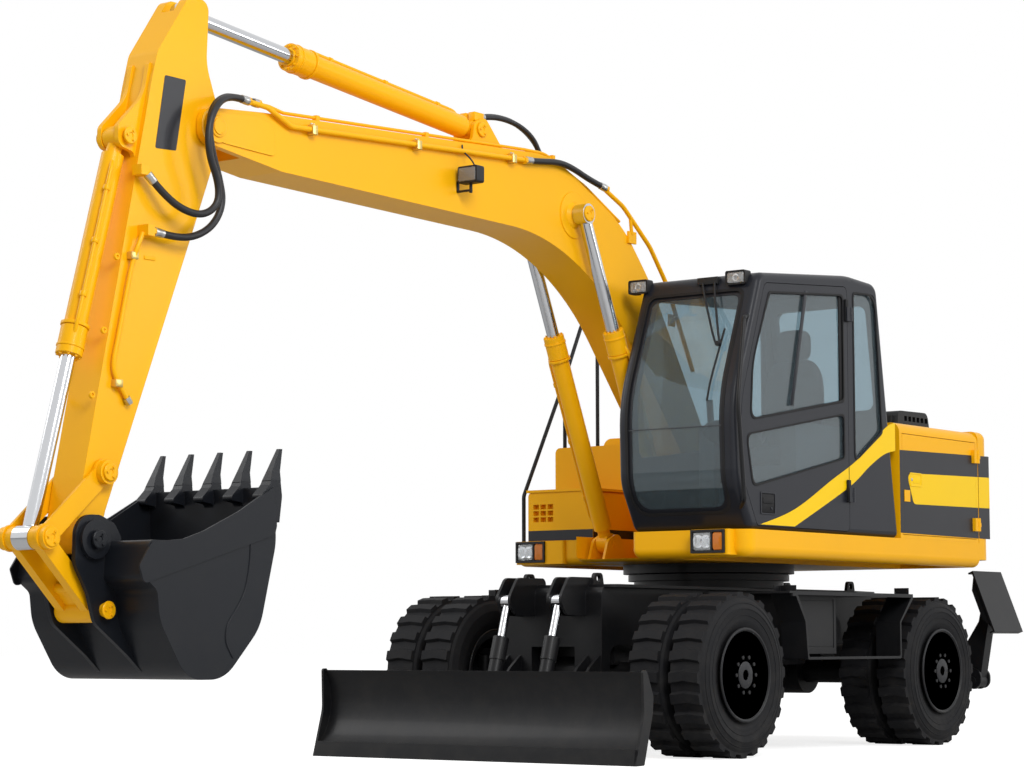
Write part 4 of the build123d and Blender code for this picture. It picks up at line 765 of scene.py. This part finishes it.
# pin ends: a flanged cap with three bolts on each side
pinEnds = (
    # name, x, z, y of the face, radius, body
    ("stickHinge", 5.176, 3.515, 0.1745, 0.060, "boom"),
    ("boomEye", 1.830, 3.465, 0.285, 0.052, "boom_rods"),
    ("boomFoot", 0.220, 1.800, 0.2005, 0.060, "boom"),
    ("stickBase", 2.700, 3.900, 0.0845, 0.046, "stick_barrel"),
    ("bucketBase", 5.768, 3.383, 0.1005, 0.046, "bucket_barrel"),
    ("rockerPin", 5.952, 1.593, 0.1745, 0.046, "rocker"),
    ("bucketPin", 6.057, 1.244, 0.2115, 0.048, "bucket"),
    ("linkPin", 5.973, 0.887, 0.1965, 0.046, "bucket_link"),
    ("bucketEye", 6.347, 1.248, 0.1705, 0.050, "rocker"),
)
for name, x, z, y, radius, body in pinEnds:
    finishName = "bucketBlack" if name == "bucketPin" else "machineYellow"
    bm = bmesh.new()
    for side in (1, -1):
        putTurned(bm, (x, side * (y - 0.002), z), (0, side, 0), [
            (0, 0.0), (0, radius), (0.008, radius), (0.011, radius - 0.004), (0.011, radius * 0.35),
            (0.006, radius * 0.3), (0.006, 0.0)], 36)
    fromBm(f"pinCap_{name}", bm, finishName, body)
    places = [((x, side * (y + 0.008), z), (0, side, 0), (1, 0, 0)) for side in (1, -1)]
    putBolts(f"pinBolt_{name}", "Circle", places, 3, radius * 0.62, 0.007, 0.008, finishName, body)

# sleeves of the hose ends: end of the hose, a point along it, body
# the stick's nose passes close to the short one
sleeve = {"over": 0.030, "shortOver": 0.010, "shortOne": 1}
silverEnds = [(hoses[key][end], hoses[key][after], body) for key, end, after, body in (
    ("stickUpper", 0, 1, "boom"), ("stickLower", 0, 1, "boom"), ("boom", 0, 1, "boom"),
    ("boom", -1, -2, "boom"),
    ("stickUpper", -1, -2, "stick"), ("stickLower", -1, -2, "stick"))]
silverEnds += [(supply[key][0], supply[key][1], "stick_barrel") for key in ("near", "far")]
silverEnds += [(supply[key][-1], supply[key][-2], "boom") for key in ("near", "far")]
for k, (end, after, body) in enumerate(silverEnds):
    end, after = Vector(end), Vector(after)
    axis = (end - after).normalized()
    over = sleeve["shortOver"] if k == sleeve["shortOne"] else sleeve["over"]
    bm = bmesh.new()
    putTurned(bm, end - axis * over, axis,
              [(0, 0.0212), (0.001, 0.0235), (over, 0.0235), (over + 0.002, 0.0245),
                                            (over + 0.028, 0.0245), (over + 0.030, 0.021)], 24)
    fromBm(f"hoseSleeve_{k}", bm, "bareSteel", body)
bm = bmesh.new()
for y in (0.034, -0.034):
    putBox(bm, (2.650, y - 0.026, 3.955), (2.745, y + 0.026, 4.012))
fromBm("supplyPorts", bm, "machineYellow", "stick_barrel", edge=0.004)
bm = bmesh.new()
putBox(bm, (2.005, 0.018, 3.770), (2.070, 0.082, 3.826))
putBox(bm, (1.845, -0.066, 3.700), (1.910, -0.002, 3.788))
fromBm("supplyBlocks", bm, "machineYellow", "boom", edge=0.004)

# zinc clamps of the boom's pipes, with two bolts each
clampPlaces = [(2.525, 0.185, 3.734), (3.470, 0.185, 3.675), (4.412, 0.185, 3.617)]
clamp = {"half": 0.021, "back": 0.020, "front": 0.023, "down": 0.032, "up": 0.028}
for k, (x, y, z) in enumerate(clampPlaces):
    back, front, low, high = y - clamp["back"], y + clamp["front"], z - clamp["down"], z + clamp["up"]
    bm = bmesh.new()
    putPlate(bm, rounded([(back, low, 0.004), (front, low, 0.006), (front, high, 0.010),
                          (back, high, 0.006)]), "x",
             x - clamp["half"], x + clamp["half"])
    fromBm(f"pipeClamp_{k}", bm, "goldZinc", "boom", edge=0.002)
places = [((x - 0.011, y, z + clamp["up"]), (0, 0, 1), (1, 0, 0)) for x, y, z in clampPlaces]
putBolts("clampBolts", "Line", places, 2, 0.022, 0.006, 0.007, "bareSteel", "boom")
print("arm fittings ready")

# stick: service pipe with its clamps and cap, bosses and the plain strip
stickTrim = {
    "pipe": [(5.715, 0.150, 2.866), (5.745, 0.150, 2.800), (5.768, 0.132, 2.720), (5.819, 0.130, 2.500),
             (5.872, 0.130, 2.270), (5.900, 0.130, 2.160), (5.880, 0.130, 2.090), (5.820, 0.130, 2.015),
             (5.796, 0.130, 1.985)],
    "clamps": ((5.766, 2.740), (5.868, 2.060)),
    "bosses": ((5.869, 2.725), (5.955, 2.330), (6.032, 1.988)),
    "bossRows": [(0, 0.020), (0.014, 0.018), (0.014, 0.008), (0.006, 0.008), (0.006, 0)],
    "strip": [(5.524, 3.748, 0.012), (5.363, 3.748, 0.012), (5.434, 3.350, 0.012), (5.592, 3.341, 0.012)],
    "stripY": (0.1103, 0.1118),
    "y": 0.1095,
}
putPipe("stickPipe", stickTrim["pipe"], 0.013, "machineYellow", "stick")
bm = bmesh.new()
for x, z in stickTrim["clamps"]:
    putBox(bm, (x - 0.026, 0.108, z - 0.020), (x + 0.026, 0.150, z + 0.020))
fromBm("stickPipeClamps", bm, "goldZinc", "stick", edge=0.004)
bm = bmesh.new()
putRod(bm, (5.800, 0.130, 1.990), (5.775, 0.130, 1.960), 0.021, sides=6)
fromBm("stickPipeCap", bm, "bareSteel", "stick", edge=0.001)
bm = bmesh.new()
for x, z in stickTrim["bosses"]:
    for side in (1, -1):
        putTurned(bm, (x, side * stickTrim["y"], z), (0, side, 0), stickTrim["bossRows"], 24)
putBox(bm, (5.585, stickTrim["y"], 2.735), (5.665, 0.1150, 2.755))
fromBm("stickBosses", bm, "machineYellow", "stick", edge=0.002)
bm = bmesh.new()
putPlate(bm, rounded(stickTrim["strip"]), "y", *stickTrim["stripY"])
fromBm("stickStrip", bm, "stripeBlack", "stick")

# work lamp on the boom's side: housing, bracket, lens and cable
boomLamp = {"x": 3.045, "y": 0.232, "z": 3.545, "reach": 0.03, "width": 0.150, "height": 0.105,
            "depth": 0.075,
            "bezel": 0.012, "boomY": 0.158}
x, y, z = boomLamp["x"], boomLamp["y"], boomLamp["z"]
lamp = ((y + boomLamp["reach"] - boomLamp["width"] / 2, z - boomLamp["height"] / 2),
        (y + boomLamp["reach"] + boomLamp["width"] / 2, z + boomLamp["height"] / 2))
faceX = x + boomLamp["depth"] / 2
bm = bmesh.new()
putPlate(bm, roundedBox(*lamp, 0.016), "x", x - boomLamp["depth"] / 2, faceX)
putBox(bm, (x - 0.012, boomLamp["boomY"], z - 0.100), (x + 0.012, y + 0.036, z - 0.088))
putBox(bm, (x - 0.012, boomLamp["boomY"], z - 0.100), (x + 0.012, boomLamp["boomY"] + 0.008, z - 0.030))
putRod(bm, (x, y + 0.030, z - 0.110), (x, y + 0.030, z - 0.040), 0.010)
fromBm("boomLamp", bm, "blackPlastic", "boom", "lamp", edge=0.003)
bm = bmesh.new()
putPlate(bm, roundedBox(*lamp, 0.010, boomLamp["bezel"]), "x", faceX - 0.002, faceX + 0.005)
fromBm("boomLampLens", bm, "lensGlass", "boom", edge=0.0015)
putPipe("boomLampCable",
        [(x - 0.03, y + 0.03, z + 0.02), (x - 0.06, y + 0.025, z + 0.05), (x - 0.04, y, z + 0.11),
         (x - 0.02, 0.178, z + 0.16), (x - 0.03, 0.172, z + 0.20)], 0.005, "hoseRubber", "boom")
print("boom lamp ready")


# a smooth line through the given points
def smoothLine(points, steps=8):
    line = []
    ends = [points[0]] + list(points) + [points[-1]]
    for p0, p1, p2, p3 in zip(ends, ends[1:], ends[2:], ends[3:]):
        for k in range(steps):
            t = k / steps
            line.append(tuple(0.5 * (2 * b + (c - a) * t + (2 * a - 5 * b + 4 * c - d) * t ** 2
                                     + (3 * b - a - 3 * c + d) * t ** 3)
                              for a, b, c, d in zip(p0, p1, p2, p3)))
    return line + [tuple(points[-1])]


# painted shapes on the flat sides: thin skins, each riding on the panel that it covers
skins = {
    "cabY": 1.2353,
    "bodyY": 1.2400,
    "thick": 0.0012,
    "doorFrom": (0.1945, 1.4565),        # x of the door's rear edge, z of its foot
    "frameTo": (-0.452, 0.1855),         # x of the cab's rear edge, x of the door's gap
    # piece, from x, to x
    "panels": (("Edge", -0.5445, -0.505), ("Door", -1.6355, -0.5445), ("Gap", -1.6720, -1.6365),
               ("Tail", -1.852, -1.6830)),
    "swooshLow": [(0.930, 1.446), (0.206, 1.737), (-0.092, 1.897), (-0.300, 1.990), (-0.494, 2.029)],
    "swooshHigh": [(-0.501, 2.216), (-0.327, 2.177), (0.054, 1.943), (0.420, 1.780), (0.910, 1.565),
                   (1.392, 1.441)],
    "band": [(-0.505, 2.032), (-0.505, 1.463), (-1.852, 1.458), (-1.852, 2.060)],
    "stripe": [(-0.600, 1.877, 0.05), (-0.696, 1.666, 0.05), (-1.852, 1.682, 0), (-1.852, 1.906, 0)],
}


def putSkin(name, outline, y, finishName, body, slotName, side=1):
    bm = bmesh.new()
    low, high = sorted((side * y, side * (y + skins["thick"])))
    putPlate(bm, outline, "y", low, high)
    fromBm(name, bm, finishName, body, slotName)


swoosh = smoothLine(skins["swooshLow"]) + smoothLine(skins["swooshHigh"])
doorPart = cutOutline(cutOutline(swoosh, skins["doorFrom"][0]), skins["doorFrom"][1], axisIndex=1)
framePart = cutOutline(cutOutline(swoosh, skins["frameTo"][1], -1), skins["frameTo"][0])
putSkin("swooshDoor", doorPart, skins["cabY"], "stripeYellow", "cab_door", "yellow_paint")
putSkin("swooshFrame", framePart, skins["cabY"], "stripeYellow", "upper", "yellow_paint")
for side, word in ((1, "left"), (-1, "right")):
    for part, low, high in skins["panels"]:
        body = f"side_door_{word}" if part == "Door" else "upper"
        for label, rows, lift, finishName in (("band", skins["band"], 0.0003, "stripeBlack"),
                                              ("stripe", rounded(skins["stripe"]), 0.0016, "stripeYellow")):
            outline = cutOutline(cutOutline(rows, low), high, -1)
            if len(outline) > 2:
                putSkin(f"{label}{part}_{word}", outline, skins["bodyY"] + lift, finishName, body,
                        "black_paint", side)
print("stripes ready")


def putLock(bm, centre, side, radius):
    putTurned(bm, centre, (0, side, 0),
              [(0, 0), (0, radius), (0.004, radius), (0.005, radius - 0.003), (0.005, 0)], 24)


# side doors: latch plates with their locks
latch = {"frame": ((-0.812, 1.788), (-0.643, 1.884)), "paddle": ((-0.792, 1.812), (-0.690, 1.860)),
         "lock": (-0.672, 1.836), "y": 1.2405, "frameTop": 1.2465, "paddleTop": 1.2440}
for side, word in ((1, "left"), (-1, "right")):
    bm = bmesh.new()
    putFrame(bm, roundedBox(*latch["frame"], 0.014), roundedBox(*latch["frame"], 0.010, 0.010), "y",
             *sorted((side * latch["y"], side * latch["frameTop"])))
    putPlate(bm, roundedBox(*latch["paddle"], 0.008), "y",
             *sorted((side * latch["y"], side * latch["paddleTop"])))
    fromBm(f"latch_{word}", bm, "stripeYellow", f"side_door_{word}", edge=0.0012)
    bm = bmesh.new()
    putLock(bm, (latch["lock"][0], side * latch["y"], latch["lock"][1]), side, 0.011)
    fromBm(f"latchLock_{word}", bm, "bareSteel", f"side_door_{word}")
print("side doors ready")

# lamps: domed lenses, and the reflectors behind the clear ones
lampFaces = (
    # name, x of the face, low Y, high Y, low Z, high Z, lens
    ("nearWhite", 1.5475, 0.876, 1.012, 1.291, 1.407, "lensGlass"),
    ("nearAmber", 1.5475, 1.022, 1.098, 1.291, 1.407, "amberLens"),
    ("farWhite", 0.6245, -1.191, -1.055, 1.291, 1.407, "lensGlass"),
    ("farAmber", 0.6245, -1.045, -0.969, 1.291, 1.407, "amberLens"),
    ("roofNear", 1.3435, 1.020, 1.150, 3.000, 3.072, "lensGlass"),
    ("roofFar", 1.3435, 0.270, 0.400, 3.000, 3.072, "lensGlass"),
)
# share of the outline, depth
lensSteps = ((1.0, 0.0), (1.0, 0.006), (0.93, 0.010), (0.6, 0.0125), (0.25, 0.0135))
for name, x, lowY, highY, lowZ, highZ, lens in lampFaces:
    y, z = (lowY + highY) / 2, (lowZ + highZ) / 2
    outline = roundedBox((lowY, lowZ), (highY, highZ), 0.016, 0.002)
    bm = bmesh.new()
    rings = [[bm.verts.new(at(x + depth, y + (a - y) * share, z + (b - z) * share)) for a, b in outline]
             for share, depth in lensSteps]
    bridge(bm, rings)
    bm.faces.new(rings[0])
    bm.faces.new(rings[-1])
    fromBm(f"lens_{name}", bm, lens, "upper")
    if lens == "lensGlass":
        bm = bmesh.new()
        size = min(highY - lowY, highZ - lowZ) / 2 - 0.006
        for shift in ((-0.028, 0.028) if name.endswith("White") else (0,)):
            putTurned(bm, (x - 0.0015, y + shift, z), (1, 0, 0), [
                (0, 0), (0, size * 0.72), (0.0035, size * 0.80), (0.0035, size * 0.74), (0.0010, size * 0.5),
                (0.0010, 0)], 32)
        fromBm(f"reflector_{name}", bm, "rodChrome", "upper", "lamp")
print("lamps ready")

# cab: seals, the door's bar and handle, and the quarter window's foot
cab = {
    "doorUpper": [(0.240, 2.310, 0.04), (1.430, 2.110, 0.06), (1.400, 2.480, 0.6), (1.190, 2.950, 0.05),
                  (0.240, 3.030, 0.04)],
    "doorLower": [(0.240, 1.930, 0.04), (1.410, 1.690, 0.06), (1.480, 2.020, 0.06), (0.240, 2.230, 0.04)],
    "quarter": [(-0.276, 2.135, 0.05), (0.110, 1.912, 0.04), (0.110, 3.060, 0.04), (-0.200, 3.075, 0.12)],
    "quarterFoot": [(-0.292, 2.000), (0.112, 1.868), (0.112, 1.914), (-0.272, 2.137), (-0.286, 2.145)],
    "sealWide": 0.016,
    "sealY": (1.2340, 1.2385),
    "bar": ((0.724, 3.004), (0.920, 2.236)),
    "barHalf": 0.017,
    "handle": ((1.150, 1.530), (1.312, 1.654)),
    "paddle": ((1.168, 1.592), (1.294, 1.630)),
    "doorY": 1.2348,
}


def shrink(rows, gap):
    centre = Vector((sum(row[0] for row in rows) / len(rows), sum(row[1] for row in rows) / len(rows)))
    result = []
    for a, b, radius in rows:
        spot = Vector((a, b)) - centre
        result.append((*[centre[k] + spot[k] * (1 - gap / max(abs(spot[k]), 0.1)) for k in (0, 1)], radius))
    return result


for name, body in (("doorUpper", "cab_door"), ("doorLower", "cab_door"), ("quarter", "upper")):
    outer, inner = [rounded(shrink(cab[name], gap)) for gap in (-0.004, cab["sealWide"] - 0.004)]
    bm = bmesh.new()
    putFrame(bm, outer, inner, "y", *cab["sealY"])
    fromBm(f"seal_{name}", bm, "sealRubber", body, edge=0.0012)
bm = bmesh.new()
(topX, topZ), (lowX, lowZ), half = *cab["bar"], cab["barHalf"]
putPlate(bm, [(topX - half, topZ), (topX + half, topZ), (lowX + half, lowZ), (lowX - half, lowZ)], "y",
         1.2300, 1.2372)
fromBm("doorGlassBar", bm, "cabBlack", "cab_door", edge=0.0015)
bm = bmesh.new()
putPlate(bm, roundedBox(*cab["handle"], 0.012), "y", cab["doorY"], 1.2358)
putPlate(bm, roundedBox(*cab["paddle"], 0.006), "y", 1.2352, 1.2405)
fromBm("doorHandle", bm, "sealRubber", "cab_door", edge=0.0015)
bm = bmesh.new()
putFrame(bm, roundedBox(*cab["handle"], 0.016, -0.010), roundedBox(*cab["handle"], 0.012), "y",
         cab["doorY"], 1.2392)
putLock(bm, (1.190, 1.2355, 1.560), 1, 0.010)
fromBm("doorHandleRim", bm, "cabBlack", "cab_door", "interior", edge=0.001)
bm = bmesh.new()
putPlate(bm, cab["quarterFoot"], "y", 1.2190, 1.2349)
fromBm("quarterFoot", bm, "cabBlack", "upper")

cabOutline = rounded([(-0.495, 1.427, 0.03), (1.440, 1.427, 0.06), (1.605, 1.720, 0.30), (1.620, 2.250, 0.90),
                      (1.300, 3.065, 0.09), (0.150, 3.170, 0.90), (-0.235, 3.150, 0.09)], steps=16)


# x of the cab's front at a height
def frontX(z):
    found = []
    for (x1, z1), (x2, z2) in zip(cabOutline, cabOutline[1:] + cabOutline[:1]):
        if min(z1, z2) <= z <= max(z1, z2) and abs(z2 - z1) > 1e-6:
            found.append(x1 + (x2 - x1) * (z - z1) / (z2 - z1))
    return max(found)


def divided(outline, step=0.03):
    points = []
    for (a, b), (c, d) in zip(outline, outline[1:] + outline[:1]):
        count = max(1, int(math.hypot(c - a, d - b) / step))
        points += [(a + (c - a) * k / count, b + (d - b) * k / count) for k in range(count)]
    return points


# a frame along the windscreen's edge that follows the curve of the glass
def screenFrame(name, outer, inner, lift, thick, finishName, count=160):
    bm = bmesh.new()
    loops = []
    for rows, extra in ((outer, 0), (outer, thick), (inner, thick), (inner, 0)):
        line = divided(rounded(rows))
        line = [line[int(k * len(line) / count) % len(line)] for k in range(count)]
        loops.append([bm.verts.new(at(frontX(z) + lift + extra, y, z)) for y, z in line])
    bridge(bm, loops + loops[:1])
    fromBm(name, bm, finishName, "upper", "interior")


# windscreen: dark printed edge, rubber seal and the bar between its two panes
screen = {"y": (0.415, 1.145), "z": (1.530, 2.960), "barZ": (2.066, 2.073), "barX": (-0.0145, -0.0095)}


def screenRows(inset, corner):
    lowY, highY, lowZ, highZ = (screen[axis][k] + (inset, -inset)[k] for axis in "yz" for k in (0, 1))
    return [(lowY, lowZ, corner), (highY, lowZ, corner), (highY, highZ, corner * 0.6),
            (lowY, highZ, corner * 0.6)]


screenFrame("screenEdge", screenRows(0.001, 0.11), screenRows(0.034, 0.10), -0.0140, 0.0015, "stripeBlack")
screenFrame("screenSeal", screenRows(-0.010, 0.115), screenRows(0.010, 0.105), -0.0105, 0.0125, "sealRubber")
bm = bmesh.new()
barX = frontX(2.07)
putBox(bm, (barX + screen["barX"][0], 0.425, screen["barZ"][0]),
       (barX + screen["barX"][1], 1.135, screen["barZ"][1]))
fromBm("screenBar", bm, "innerPlastic", "upper", edge=0.001)

# wiper: two arms from the roof's edge to a blade on the glass
wiper = {"topZ": 3.030, "lowZ": 2.600, "topY": (0.822, 0.915), "lowY": (1.028, 1.060),
         "blade": ((1.062, 2.700), (1.026, 2.230)), "bladeParts": 12}
for k in range(2):
    line = []
    for share in (0.0, 0.2, 0.45, 0.7, 0.9, 1.0):
        z = wiper["topZ"] + (wiper["lowZ"] - wiper["topZ"]) * share
        y = wiper["topY"][k] + (wiper["lowY"][k] - wiper["topY"][k]) * share
        line.append((frontX(z) + (0.018 if share in (0.0, 1.0) else 0.030), y, z))
    putPipe(f"wiperArm_{k}", line, 0.0075, "blackPlastic", "upper")
bm = bmesh.new()
(topY, topZ), (lowY, lowZ) = wiper["blade"]
line = []
for k in range(wiper["bladeParts"] + 1):
    share = k / wiper["bladeParts"]
    z = topZ + (lowZ - topZ) * share
    line.append((frontX(z) + 0.004, topY + (lowY - topY) * share, z))
for first, second in zip(line, line[1:]):
    putRod(bm, first, second, 0.007, sides=12)
putBox(bm, (frontX(3.03) - 0.012, 0.790, 3.010), (frontX(3.03) + 0.030, 0.945, 3.056))
putRod(bm, (frontX(2.6) + 0.002, 1.045, 2.600), (frontX(2.6) + 0.034, 1.045, 2.600), 0.017)
fromBm("wiperBlade", bm, "blackPlastic", "upper", edge=0.002)

# door: channel of the sliding pane and hinge covers
bm = bmesh.new()
putPlate(bm, [(0.246, 2.318), (0.284, 2.312), (0.284, 3.022), (0.246, 3.024)], "y", 1.2150, 1.2290)
fromBm("paneChannel", bm, "sealRubber", "cab_door", edge=0.002)
bm = bmesh.new()
for z in (1.640, 2.850):
    putBox(bm, (0.196, 1.2372, z), (0.232, 1.2560, z + 0.150))
fromBm("hingeCover", bm, "sealRubber", "cab_door", edge=0.005)

# seat: cushion, back and head rest with sewn channels, on a plain base
seat = {"y": 0.790, "cuts": 22, "power": 3.4, "channels": 2.5, "seam": 0.14,
        "cushion": (0.385, 1.960, 0.235, 0.228, 0.066), "back": (0.140, 2.300, 0.055, 0.222, 0.330),
        "head": (0.148, 2.720, 0.042, 0.130, 0.110)}


# a pad that is rounded on all sides; its channels lie side by side along one axis
def makePad(name, x, z, halfX, halfY, halfZ, across, groove):
    power = seat["power"]
    bm = bmesh.new()
    bmesh.ops.create_cube(bm, size=2)
    bmesh.ops.subdivide_edges(bm, edges=bm.edges, cuts=seat["cuts"], use_grid_fill=True)
    for vertex in bm.verts:
        spot = vertex.co
        size = (abs(spot.x) ** power + abs(spot.y) ** power + abs(spot.z) ** power) ** (1 / power)
        spot /= size
        lane = abs(((spot[across] * seat["channels"] + 10.5) % 1) - 0.5) * 2
        crease = max(0, lane - (1 - seat["seam"])) / seat["seam"]
        shape = Vector((spot.x * halfX, spot.y * halfY, spot.z * halfZ))
        thin = 2 if halfZ < halfX else 0
        if abs(spot[thin]) > 0.45:
            shape[thin] *= 1 - groove * crease
        vertex.co = at(x, seat["y"], z) + shape
    return fromBm(name, bm, "seatFabric", "upper", smooth=180)


pads = [makePad("seatCushion", *seat["cushion"], across=1, groove=0.12),
        makePad("seatBack", *seat["back"], across=2, groove=0.16),
        makePad("seatHead", *seat["head"], across=2, groove=0.0)]
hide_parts("cab_seat")
bm = bmesh.new()
putBox(bm, (0.205, seat["y"] - 0.195, 1.500), (0.555, seat["y"] + 0.195, 1.890))
fromBm("seatBase", bm, "innerPlastic", "upper", edge=0.02, steps=3)
print("cab ready")

# toolbox: black foot of its front and near side; rims of the cowl's louvres
bm = bmesh.new()
putBox(bm, (0.6003, -1.118, 1.428), (0.6018, -0.562, 1.500))
putBox(bm, (0.102, -0.5597, 1.428), (0.598, -0.5582, 1.500))
fromBm("toolboxFoot", bm, "stripeBlack", "upper")
cowl = {"count": 4, "firstY": 0.620, "pitch": 0.058, "half": 0.022, "rim": 0.006, "z": (2.285, 2.345),
        "x": (-1.1795, -1.1740)}
bm = bmesh.new()
for k in range(cowl["count"]):
    y = cowl["firstY"] + k * cowl["pitch"]
    box = ((y - cowl["half"], cowl["z"][0]), (y + cowl["half"], cowl["z"][1]))
    putFrame(bm, roundedBox(*box, 0.008), roundedBox(*box, 0.006, cowl["rim"]), "x", *cowl["x"])
fromBm("cowlRims", bm, "blackPlastic", "upper", "black_paint")

# step treads: rows of raised studs
stepRows = {"x": (-0.46, 0.73), "y": (1.105, 1.215), "z": 0.6055, "pitch": 0.032}
bm = bmesh.new()
x = stepRows["x"][0]
row = 0
while x < stepRows["x"][1]:
    y = stepRows["y"][0] + (row % 2) * stepRows["pitch"] / 2
    while y < stepRows["y"][1]:
        for side in (1, -1):
            putTurned(bm, (x, side * y, stepRows["z"] - 0.002), (0, 0, 1), [(0, 0.009), (0.005, 0.007)], 8)
        y += stepRows["pitch"]
    x += stepRows["pitch"]
    row += 1
fromBm("stepStuds", bm, "chassisBlack", "chassis")

# bucket: weld seam down each side
bucketSeam = smoothLine([(5.211, 1.257), (5.217, 1.126), (5.266, 0.954), (5.381, 0.824), (5.394, 0.715),
                         (5.328, 0.630)],
                        5)[::3]
for side, word in ((1, "left"), (-1, "right")):
    putPipe(f"bucketSeam_{word}", [(x, side * 0.4705, z) for x, z in bucketSeam], 0.005, "bucketBlack",
            "bucket")
print("trim ready")

low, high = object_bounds()
